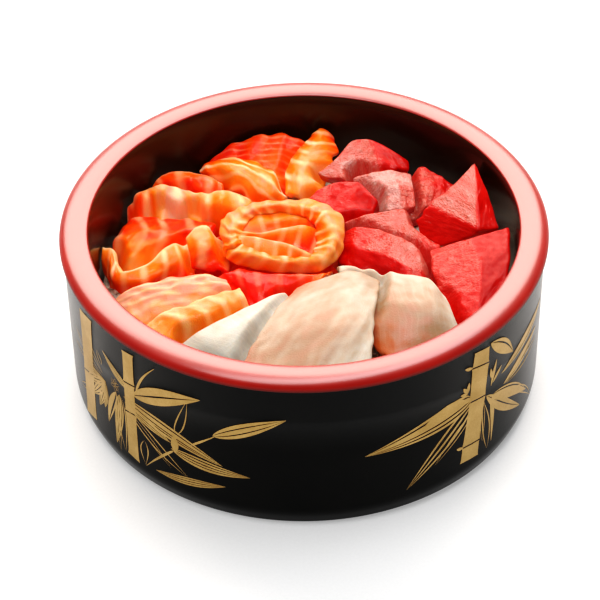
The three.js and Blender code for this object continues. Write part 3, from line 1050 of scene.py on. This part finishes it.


# Each grid of paleness is partly painted light and shade: low numbers give the cream of lit folds,
# high ones the tan to deep orange painted shade where the flesh slopes away or lies in a hollow.
lay_white(
    "white_drape",
    [
        [(-3.5, -19, 57), (7, -16.5, 60), (19, -12, 60), (30.5, -15, 57)],
        [(-10, -31, 59), (3.5, -31, 62.5), (17, -29.5, 63), (28.5, -31.5, 60)],
        [(-18, -47, 58), (-2, -49, 62), (15, -49.5, 63), (26.5, -50.5, 60)],
        [(-26, -62, 54), (-9, -67.5, 56), (8.5, -69, 57), (25.5, -65.5, 56)],
    ],
    {
        "spacing": 9,
        "slant": 80,
        "tone_and_shade": [
            [1.0, 0.45, 0.35, 0.35, 0.45],
            [0.4, 0.3, 0.4, 0.2, 0.3],
            [0.35, 0.5, 0.6, 0.45, 0.25],
            [0.85, 0.55, 0.6, 0.25, 0.1],
        ],
        "fat": 0.18,
        "ridge": 0.08,
    },
    ragged=0.015,
)
lay_white(
    "white_left",
    [
        [(-49, -45, 51), (-44, -53, 52), (-38, -60.5, 50)],
        [(-39, -41.5, 57), (-34, -52, 58.5), (-25.5, -60.5, 54)],
        [(-26, -34.5, 59), (-21.5, -43.5, 60.5), (-13, -48, 56)],
        [(-15.5, -26.5, 58.5), (-10.5, -33, 59), (-4, -38.5, 56)],
        [(-7.5, -20.5, 57.5), (-2, -26, 57), (3, -31, 55)],
    ],
    {"spacing": 2.2, "slant": 20, "tone_and_shade": 0.05, "fat": 0.3, "ridge": 0.0},
)
lay_white(
    "white_right",
    [
        [(12.5, -4.5, 57), (15.5, -16, 57), (18.5, -29.5, 54)],
        [(24, -8.5, 59), (26.5, -28.5, 60), (27.5, -52, 52.5)],
        [(35.5, -14.5, 61), (38, -36, 62), (36.5, -57.5, 53)],
        [(48.5, -18.5, 61), (50, -37.5, 61.5), (49.5, -53, 53)],
        [(56, -28.5, 59), (59, -40, 57.5), (62.5, -48.5, 54)],
    ],
    {
        "spacing": 2.6,
        "slant": 10,
        "tone_and_shade": [
            [0.3, 0.4, 0.6],
            [0.2, 0.55, 1.05],
            [0.2, 0.6, 0.95],
            [0.3, 0.5, 0.75],
            [0.25, 0.15, 0.3],
        ],
        "fat": 0.12,
        "ridge": 0.0,
        "rind_and_highlight": 0.3,
    },
)
lay_white(
    "white_tip",
    [
        [(26.5, -56, 54), (29, -62, 53)],
        [(33.5, -54.5, 57), (35.5, -61, 54)],
        [(41, -55, 55), (42.5, -58.5, 54)],
    ],
    {"spacing": 3.0, "slant": 60, "tone_and_shade": 0.15, "fat": 0.4, "ridge": 0.02},
)


# ---------------------------------------------------------------- the flat salmon in front
# Two flat slices of salmon at the front left and one that shows below the rosette, drawn dark
# red as painted shade. They are cut as the waves are, and lie under them and under the white fish.
lay_salmon(
    "salmon_slab_front",
    [
        [(-66, -37.5, 51.5), (-62.5, -43.5, 51), (-58, -50.5, 48.5)],
        [(-56, -32.5, 57), (-51.5, -40.5, 56.5), (-47.5, -49, 51.5)],
        [(-46, -30, 59), (-41.5, -37.5, 58.5), (-37, -44.5, 53.5)],
        [(-35.5, -25, 60), (-31.5, -33, 59.5), (-28, -38, 54.5)],
        [(-25.5, -21, 59.5), (-22.5, -28, 59), (-18.5, -31.5, 56)],
    ],
    {"bands": 4.5, "arch": 4, "tone_and_shade": [[0.85, 0.75, 0.5]], "fat": 0.6, "rind_and_highlight": 0.5},
)
lay_salmon(
    "salmon_slab_left",
    [
        [(-77.5, -18.5, 51), (-75.5, -24, 50), (-70, -34.5, 48.5)],
        [(-68.5, -14.5, 55), (-66, -23, 54), (-61, -36, 51)],
        [(-55.5, -13, 58), (-53, -22.5, 57.5), (-48, -32, 53)],
        [(-43, -11.5, 59), (-40.5, -19, 58.5), (-37, -26, 54)],
        [(-31.5, -13.5, 58.5), (-28.5, -20.5, 58), (-25.5, -25.5, 55)],
    ],
    {"spacing": 4.4, "slant": 84, "tone_and_shade": [[1.05, 0.98, 0.85]], "fat": 0.5, "ridge": 0.12},
)
lay_salmon(
    "salmon_under_rose",
    [
        [(-49, -2, 51.5), (-46.5, -7, 50.5), (-42, -13, 49)],
        [(-37.5, 0, 54.5), (-35, -9, 53.5), (-29, -21, 51)],
        [(-26, -2.5, 57), (-24, -15.5, 56.5), (-20, -26.5, 53)],
        [(-14.5, -6.5, 58), (-14.5, -17, 57.5), (-13, -24.5, 54)],
        [(-1.5, -8.5, 58.5), (-2.5, -15.5, 57.5), (-3.5, -23, 55)],
        [(11, -4.5, 58), (9, -10, 57), (4, -18, 56)],
    ],
    {"spacing": 9, "tone_and_shade": [[0.15], [0.03], [0.0], [0.12], [0.45]], "fat": 0.13, "ridge": 0.06},
)


# ---------------------------------------------------------------- the tuna
# Eight slices of raw tuna, 8 to 9 mm thick, cut square to the grain and leaned on each other
# in the right half. The faces turned to the light are pinkish, partly as painted sheen, and wet;
# the faces turned away and the sides are smooth and deep red, partly as painted shade.
TUNA_THICKNESS = 8.0
TUNA_FOLD = 0.08

# Raw tuna: dense red flesh that light enters by a millimetre or two. The faces turned to the light
# are drawn paler as painted sheen, broken up by the ends of the fibres, and their film of water
# gives small sharp glints. The faces turned away and the sides are drawn deep red as painted
# shade, smooth and with hardly any film. A faint painted glow stands for light passed through.
tuna_flesh, tree = new_material("raw tuna")
place = add_node(tree, "Attribute", attribute_name="flesh").outputs["Vector"]
tone_and_shade, depth = (
    add_node(tree, "Attribute", attribute_name=label).outputs["Fac"] for label in ("tone_and_shade", "depth")
)
noise = {"Vector": place, "Scale": 0.3, "Detail": 4, "Roughness": 0.6}
mottle = add_node(tree, "TexNoise", noise)
fibre = add_node(tree, "TexNoise", {"Vector": place, "Scale": 1.3, "Detail": 5})
noise = {"Vector": place, "Scale": 0.22, "Detail": 3, "Roughness": 0.5, "Distortion": 0.4}
creases = add_node(tree, "TexNoise", noise, noise_type="RIDGED_MULTIFRACTAL")
# The sides of each slice are drawn deeper red than its upper face: painted shade.
reach = {"From Min": 0.02, "From Max": 0.3, "To Min": 0.0, "To Max": -0.45}
side = add_node(tree, "MapRange", {"Value": depth, **reach})
cut = add_node(tree, "Math", {0: tone_and_shade, 1: side}, operation="ADD")
level = shifted(tree, shifted(tree, cut, fibre, 0.16), mottle, 0.3)
flesh = add_node(tree, "ValToRGB", {"Fac": level})
set_ramp(
    flesh,
    [(0.0, "#A80500"), (0.3, "#C41208"), (0.55, "#C43428"), (0.8, "#C66054"), (1.0, "#D09288")],
)
reach = {"From Min": 0.0, "From Max": 0.9, "To Min": 0.28, "To Max": 0.55}
rough = add_node(tree, "MapRange", {"Value": level, **reach})
reach = {"From Min": 0.05, "From Max": 0.6, "To Min": 0.08, "To Max": 0.9}
film = add_node(tree, "MapRange", {"Value": level, **reach})
reach = {"From Min": 0.15, "From Max": 0.6, "To Min": 0.05, "To Max": 0.8}
coarse = add_node(tree, "MapRange", {"Value": cut, **reach})
below = {}
for height, distance in ((fibre, 0.0007), (mottle, 0.0016), (creases, 0.0005)):
    bump = {"Height": height, "Strength": coarse, "Distance": distance, **below}
    fine = add_node(tree, "Bump", bump)
    below = {"Normal": fine}
beads = add_node(tree, "Bump", {"Height": creases, "Strength": 0.8, "Distance": 0.001, **below})
shader = add_node(
    tree,
    "BsdfPrincipled",
    {
        "Base Color": flesh,
        "Roughness": rough,
        "IOR": 1.38,
        "Subsurface Weight": 0.4,
        "Subsurface Radius": (1.0, 0.18, 0.12),
        "Subsurface Scale": 0.002,
        "Specular IOR Level": 0.2,
        "Coat Weight": film,
        "Coat Roughness": 0.09,
        "Coat IOR": 1.4,
        # A faint painted glow of the flesh colour.
        "Emission Color": flesh,
        "Emission Strength": 0.07,
        "Coat Normal": beads,
        "Normal": fine,
    },
)
add_node(tree, "OutputMaterial", {"Surface": shader})


def lay_tuna(node, rows, looks, thickness=TUNA_THICKNESS, **form):
    """A slice of tuna, flat between its corners, with crisp edges. How pale it is drawn is given
    patch by patch: pale as painted sheen on the faces turned to the light, deep red as painted
    shade on the faces turned away."""
    cut = {"edge": 1.1, "relief": 0.1, "swell": 7, "fine": 0.5, "ragged": 0.02}
    form = {**cut, "patches": True, **form}
    looks = {"ridge": 0.0, **looks}
    lay_slice(node, sheet(rows, TUNA_FOLD), thickness, tuna_flesh, "tuna", looks, **form)


# Each grid gives the paleness patch by patch: high where a face is turned to the light, as painted
# sheen, low where it is turned away, as painted shade.
lay_tuna(
    "tuna_wall",
    [
        [(50.5, -0.5, 60.5), (67, 1, 65.5), (82.5, 7, 66)],
        [(50.5, -13, 60), (70.5, -14, 64.5), (82.5, -5.5, 65)],
        [(53.5, -26.5, 58), (69.5, -28, 62), (80.5, -20, 62.5)],
        [(59.5, -44, 55), (66.5, -44.5, 57.5), (76.5, -31, 59)],
    ],
    {"tone_and_shade": [[0.46, 0.12], [0.42, -0.05], [0.26, -0.05]]},
)
lay_tuna(
    "tuna_point",
    [
        [(69.5, 42, 70.5), (71, 43.5, 71), (72, 40.5, 70.5)],
        [(60, 32, 67), (70.5, 21, 69.5), (76, 27, 67)],
        [(51, 26.5, 62.5), (70.5, 6.5, 65), (79, 9.5, 63.5)],
        [(46, 23, 57), (66.5, 7, 60), (79, 10.5, 60)],
        [(47.5, 18.5, 53), (55.5, 10.5, 53), (76, 10.5, 56)],
    ],
    {"tone_and_shade": [[0.74, 0.25], [0.74, 0.08], [0.2, 0.1], [0.2, 0.1]]},
    thickness=9,
    relief=0.05,
)
lay_tuna(
    "tuna_front",
    [
        [(16.5, 18, 59), (15, 11, 56.5), (13, 3, 52.5)],
        [(29, 12.5, 62), (24, 2, 59), (20.5, -6, 54)],
        [(38, 7, 62), (34, -4, 60), (33.5, -11, 56)],
        [(44.5, 2.5, 61.5), (41.5, -10, 59), (40.5, -14.5, 57)],
        [(50, -6, 60), (50, -12.5, 58.5), (49.5, -16, 57)],
    ],
    {"tone_and_shade": [[0.35, 0.1], [0.6, 0.1], [0.75, 0.12], [0.72, 0.5]]},
)
lay_tuna(
    "tuna_middle",
    [
        [(16.5, 23, 57), (16.5, 18.5, 55), (16.5, 10.5, 52)],
        [(25, 23.5, 60.5), (24, 15, 58.5), (22.5, 1, 53)],
        [(41.5, 26, 61.5), (38, 10, 59), (36.5, -6.5, 54)],
        [(47.5, 22, 61), (46, 3.5, 59), (45.5, -12, 55)],
        [(56, 10, 58), (54, -4.5, 57), (53, -14.5, 54)],
    ],
    {"tone_and_shade": [[0.7, 0.55], [0.74, 0.6], [0.72, 0.5], [0.5, 0.4]]},
)
lay_tuna(
    "tuna_ridge",
    [
        [(5.5, 43, 58), (0, 38, 55.5)],
        [(13, 45, 61), (8.5, 30.5, 56)],
        [(23, 44, 62), (18, 25, 56.5)],
        [(31, 33.5, 59.5), (28, 26.5, 56.5)],
    ],
    {"tone_and_shade": [[0.46], [0.26], [0.12]]},
)
lay_tuna(
    "tuna_pale",
    [
        [(20, 51, 58), (23, 45, 58), (28.5, 34.5, 56)],
        [(27.5, 50, 61.5), (30.5, 40, 62), (34, 29.5, 57)],
        [(36.5, 50, 63), (39, 39, 62.5), (40.5, 28.5, 58)],
        [(45, 49.5, 61.5), (46, 39.5, 61), (46.5, 31, 58)],
    ],
    {"tone_and_shade": [[0.85, 0.75], [1.0, 0.95], [0.9, 0.7]]},
    relief=0.22,
)
lay_tuna(
    "tuna_peak",
    [
        [(6, 54.5, 58.5), (9.5, 51, 58)],
        [(13, 58, 62), (17, 48, 60)],
        [(21, 67, 66.5), (26.5, 49, 61.5)],
        [(28.5, 68, 66), (34, 52, 61)],
        [(37, 64, 63.5), (40, 54, 60.5)],
        [(45, 59.5, 60), (45, 54.5, 59)],
    ],
    {"tone_and_shade": [[0.78], [0.8], [0.7], [0.2], [0.1]]},
)
lay_tuna(
    "tuna_back",
    [
        [(36, 56, 60), (39, 47.5, 60), (41.5, 33, 57)],
        [(47, 55, 62), (47, 44, 61.5), (48, 31.5, 57)],
        [(56, 50.5, 60.5), (54.5, 42, 60), (53, 32, 57)],
        [(63.5, 45, 58), (60.5, 40, 58), (56.5, 34.5, 56)],
    ],
    {"tone_and_shade": [[0.65, 0.85], [0.55, 0.7], [0.3, 0.5]]},
    relief=0.3,
)


# ---------------------------------------------------------------- the salmon at the back
# The last four slices of salmon lie lower than the tuna: a standing roll, a folded one behind
# the waves, a wide one at the back wall and the one that the rosette stands on.
# Their paleness is partly painted light and shade: pale along lit crests, deep red where they lie
# low or turn away.
lay_salmon(
    "salmon_knob",
    [
        [(3.5, 81, 59), (8.5, 81.5, 62), (13.5, 78.5, 60)],
        [(0, 72, 60), (6.5, 71, 62.5), (15, 70.5, 59)],
        [(-4.5, 67.5, 58), (3, 64, 61.5), (13.5, 65, 57)],
        [(-7.5, 59.5, 56), (0, 55, 60), (10.5, 57.5, 55)],
        [(-8, 47, 53), (-1.5, 41.5, 57), (8, 44, 53)],
    ],
    {
        "bands": 5,
        "chevron": 0.5,
        "tone_and_shade": [[0.3, 0.55, 0.15], [0.5, 0.85, 0.6], [0.6, 0.9, 0.7]],
        "fat": 0.8,
    },
)
lay_salmon(
    "salmon_fold",
    [
        [(-45, 62.5, 54), (-43.5, 60.5, 54), (-41.5, 60, 51)],
        [(-40, 66, 57), (-38, 59, 57.5), (-36, 54, 53)],
        [(-28.5, 65.5, 59), (-28, 54.5, 60.5), (-28, 47, 54)],
        [(-18.5, 61, 59), (-19, 48, 61), (-22, 40.5, 54)],
        [(-11, 54.5, 58.5), (-12.5, 43.5, 60), (-16, 38.5, 53)],
        [(-5, 45, 56.5), (-7, 39.5, 57), (-10, 39, 52)],
    ],
    {
        "spacing": 6,
        "slant": 88,
        "tone_and_shade": [[0.15, 0.3, 0.1], [0.45, 0.8, 0.4], [0.6, 0.9, 0.3], [0.6, 0.9, 0.25]],
        "fat": 0.8,
    },
)
lay_salmon(
    "salmon_fan",
    [
        [(-42, 70.5, 51), (-38, 60, 50)],
        [(-32.5, 75.5, 57), (-29.5, 57, 51)],
        [(-22.5, 78, 60), (-20, 52.5, 52)],
        [(-11.5, 79.5, 61), (-9, 51, 52)],
        [(1, 77.5, 59), (1, 53.5, 51)],
    ],
    {
        "spacing": 3.4,
        "slant": 87,
        "tone_and_shade": [[0.18, 0.1], [0.2, 0.25], [0.32, 0.5], [0.3, 0.28]],
        "fat": 0.15,
        "ridge": 0.05,
    },
)
bed = [(-46, 12, 52.5, 24, 5), (-30, 10, 54, 28, 5), (-10, 10, 55, 30, 5), (14, 10, 54.5, 26, 5)]
lay_slice(
    "salmon_rose_bed",
    strip(bed),
    SALMON_THICKNESS,
    salmon_flesh,
    "salmon",
    {"spacing": 8, "tone_and_shade": 0.15, "fat": 0.3},
)


# ---------------------------------------------------------------- the rice
# Vinegared short-grain rice, heaped to a little over half the height of the tub. It is seen
# only in the gaps between the slices and at the wall. The core is the heap below the top
# layer, and the grains on it are 5.3 mm long and 2.7 mm wide, lying every way.
RICE_SEED = 41
RICE_GRAINS = 3000
RICE_RADIUS = 82.2
RICE_HEIGHT = 43
RICE_DOME = 4
RICE_WAVES = 0.9
RICE_GAP = 0.8
OPEN_HEIGHT = 60
CORE_RINGS = 34
CORE_SIDES = 120
CORE_DEPTH = 1.6
CORE_BASE = ((81.4, 30), (81.2, 15), (79.5, 11.5), (76, 9.5), (30, 9.4))
GRAIN_LENGTH = 5.3
GRAIN_WIDTH = 2.7
GRAIN_SIDES = 6
GRAIN_RINGS = 4
GRAIN_DEPTH = 1.5
GRAIN_MARGIN = 2.6
GRAIN_STRAY = 0.45
GRAIN_TILT = 0.3


def heap(x, y):
    """Height of the rice at a place, pressed down by the slices above it."""
    share = np.clip(np.hypot(x, y) / RICE_RADIUS, 0, 1)
    height = RICE_HEIGHT + RICE_DOME * (1 - share**2)
    height = height + RICE_WAVES * ripple(x, y, 22, RICE_SEED)
    above = soften(np.where(ceiling > OPEN_AIR / 2, OPEN_HEIGHT, ceiling), 3)
    return np.minimum(height, above[map_place(x), map_place(y)] - RICE_GAP)


steps = np.linspace(0, 1, CORE_RINGS)
around = np.linspace(0, 2 * math.pi, CORE_SIDES, endpoint=False)
top_rings = [
    [(RICE_RADIUS * s * math.cos(a), RICE_RADIUS * s * math.sin(a), 0) for a in around]
    for s in steps[1:]
]
top = np.array(top_rings).reshape(-1, 3)
top[:, 2] = heap(top[:, 0], top[:, 1]) - CORE_DEPTH
base_rings = []
for radius, height in CORE_BASE:
    base_rings += [(radius * math.cos(a), radius * math.sin(a), height) for a in around]
core_points = np.vstack([top, np.array(base_rings)])
order = np.arange(len(core_points)).reshape(-1, CORE_SIDES)
following = np.roll(order, -1, axis=1)
core_faces = np.stack([order[:-1], order[1:], following[1:], following[:-1]], -1)
core_faces = [tuple(f) for f in core_faces.reshape(-1, 4).tolist()]
core_faces += [tuple(order[0].tolist()), tuple(order[-1, ::-1].tolist())]

dice = np.random.default_rng(RICE_SEED)
grain = [(-1.0, 0.0, 0.0)]
for angle in np.linspace(0, math.pi, GRAIN_RINGS + 2)[1:-1]:
    for turn in np.linspace(0, 2 * math.pi, GRAIN_SIDES, endpoint=False):
        reach = math.sin(angle) ** 0.8
        grain.append((-math.cos(angle), reach * math.cos(turn), reach * math.sin(turn)))
grain.append((1.0, 0.0, 0.0))
grain = np.array(grain) * np.array([GRAIN_LENGTH, GRAIN_WIDTH, GRAIN_WIDTH * 0.85]) / 2
grain[:, 2] += 0.12 * (grain[:, 0] / GRAIN_LENGTH * 2) ** 2
grain_faces = []
for k in range(GRAIN_SIDES):
    after = (k + 1) % GRAIN_SIDES
    grain_faces.append((0, 1 + after, 1 + k))
    for ring in range(GRAIN_RINGS - 1):
        low = 1 + GRAIN_SIDES * ring
        high = low + GRAIN_SIDES
        grain_faces.append((low + k, low + after, high + after))
        grain_faces.append((low + k, high + after, high + k))
    grain_faces.append((high + k, high + after, high + GRAIN_SIDES))

spots = []
golden = math.pi * (3 - math.sqrt(5))
for i in range(RICE_GRAINS):
    radius = (RICE_RADIUS - GRAIN_MARGIN) * math.sqrt((i + 0.5) / RICE_GRAINS)
    spots.append((radius * math.cos(i * golden), radius * math.sin(i * golden)))
spots = np.array(spots) + dice.normal(0, GRAIN_STRAY, (RICE_GRAINS, 2))
lift = heap(spots[:, 0], spots[:, 1]) - GRAIN_DEPTH + dice.uniform(0, 0.5, RICE_GRAINS)
all_points, all_faces, shade = [], [], []
for i, ((x, y), z) in enumerate(zip(spots, lift)):
    heading, pitch = dice.uniform(0, 2 * math.pi), dice.normal(0, GRAIN_TILT)
    size = dice.uniform(0.88, 1.1)
    spin = Matrix.Rotation(heading, 3, "Z") @ Matrix.Rotation(pitch, 3, "Y")
    all_points.append(grain * size @ np.array(spin).T + np.array([x, y, z]))
    all_faces += [tuple(v + i * len(grain) for v in face) for face in grain_faces]
    shade += [dice.uniform(0, 1)] * len(grain)

# Cooked rice: swollen starch, milky and translucent, with the sheen of the vinegar and sugar
# that it is dressed with. The grains differ a little in whiteness.
rice_grain, tree = new_material("vinegared rice")
where = add_node(tree, "TexCoord").outputs["Object"]
each = add_node(tree, "Attribute", attribute_name="shade").outputs["Fac"]
cloud = add_node(tree, "TexNoise", {"Vector": where, "Scale": 500, "Detail": 2})
mixed = add_node(tree, "Math", {0: cloud, 1: 0.4, 2: 0.0}, operation="MULTIPLY_ADD")
mixed = add_node(tree, "Math", {0: each, 1: 0.6, 2: mixed}, operation="MULTIPLY_ADD")
white = add_node(tree, "ValToRGB", {"Fac": mixed})
set_ramp(white, [(0.1, "#E9E0CC"), (0.9, "#F8F4E9")])
fine = add_node(tree, "Bump", {"Height": cloud, "Strength": 0.25, "Distance": 0.0002})
shader = add_node(
    tree,
    "BsdfPrincipled",
    {
        "Base Color": white,
        "Roughness": 0.32,
        "IOR": 1.38,
        "Subsurface Weight": 0.4,
        "Subsurface Radius": (1.0, 0.8, 0.6),
        "Subsurface Scale": 0.0012,
        "Coat Weight": 0.25,
        "Coat Roughness": 0.15,
        "Normal": fine,
    },
)
add_node(tree, "OutputMaterial", {"Surface": shader})
stands_for = {"parts": ["rice"], "finish_slot": "rice"}
add_object("rice_core", core_points, core_faces, [rice_grain], **stands_for)
grains = add_object("rice_grains", np.vstack(all_points), all_faces, [rice_grain], **stands_for)
layer = grains.data.attributes.new("shade", "FLOAT", "POINT")
layer.data.foreach_set("value", np.array(shade, np.float32))


# ---------------------------------------------------------------- floor, lights and camera
# A white light table that glows a little, a large soft light behind and a little to the left,
# which the rim and the wet fish mirror, a soft one above and white surroundings. The camera
# stands where the photograph was taken from. Places and sizes are in metres.
FOOD_MIDDLE = (0, 0, 0.04)
WORLD_STRENGTH = 0.28
FLOOR_HALF = 6
LENS_LENGTH = 143.07
CAMERA_PLACE = (0.0, -0.744509, 0.666590)
CAMERA_AIM = (-0.001854, -0.049603, 0.0765)
CAMERA_ROLL = -0.89


def add_light(name, place, size, watts, tint="#FFFFFF"):
    """A rectangular soft light, aimed at the food."""
    data = bpy.data.lights.new(name, "AREA")
    data.shape = "RECTANGLE"
    data.size, data.size_y = size
    data.energy = watts
    data.color = colour(tint)[:3]
    made = bpy.data.objects.new(name, data)
    made.location = place
    way = Vector(FOOD_MIDDLE) - Vector(place)
    made.rotation_euler = way.to_track_quat("-Z", "Y").to_euler()
    bpy.context.scene.collection.objects.link(made)


scene = bpy.context.scene
world = bpy.data.worlds.new("white surroundings")
world.use_nodes = True
background = world.node_tree.nodes["Background"]
background.inputs["Color"].default_value = colour("#FFFFFF")
background.inputs["Strength"].default_value = WORLD_STRENGTH
scene.world = world

add_light("light_behind", (-0.12, 1.15, 1.12), size=(2.0, 1.2), watts=46, tint="#FFF2E6")
add_light("light_above", (0.05, -0.05, 1.1), size=(1.5, 0.5), watts=12)

# Opal acrylic, lit from below: an even, matt white that glows enough to lighten its own shadows.
sweep, tree = new_material("white acrylic light table")
where = add_node(tree, "TexCoord").outputs["Object"]
pulp = add_node(tree, "TexNoise", {"Vector": where, "Scale": 900, "Detail": 2})
paper = add_node(tree, "ValToRGB", {"Fac": pulp})
set_ramp(paper, [(0.3, "#D6D6D6"), (0.7, "#DADADA")])
shader = add_node(
    tree,
    "BsdfPrincipled",
    {
        "Base Color": paper,
        "Roughness": 0.7,
        "Specular IOR Level": 0.2,
        "Emission Color": colour("#FFFFFF"),
        "Emission Strength": 0.3,
    },
)
add_node(tree, "OutputMaterial", {"Surface": shader})
mesh = bpy.data.meshes.new("floor")
corners = [(x * FLOOR_HALF, y * FLOOR_HALF, 0) for x, y in ((-1, -1), (1, -1), (1, 1), (-1, 1))]
mesh.from_pydata(corners, [], [(0, 1, 2, 3)])
mesh.materials.append(sweep)
floor = bpy.data.objects.new("floor", mesh)
scene.collection.objects.link(floor)

lens = bpy.data.cameras.new("camera")
lens.sensor_width = 36
lens.lens = LENS_LENGTH
camera = bpy.data.objects.new("camera", lens)
camera.location = CAMERA_PLACE
look = (Vector(CAMERA_AIM) - camera.location).to_track_quat("-Z", "Y")
roll = Matrix.Rotation(math.radians(CAMERA_ROLL), 3, "Z").to_quaternion()
camera.rotation_mode = "QUATERNION"
camera.rotation_quaternion = look @ roll
scene.collection.objects.link(camera)
scene.camera = camera

# The curve deepens the shadows a little, as the photograph does.
scene.view_settings.view_transform = "Standard"
scene.view_settings.use_curve_mapping = True
curve = scene.view_settings.curve_mapping.curves[3]
for position, height in ((0.05, 0.024), (0.25, 0.23)):
    curve.points.new(position, height)
scene.view_settings.curve_mapping.update()
scene.cycles.use_denoising = True
scene.cycles.max_bounces = 8
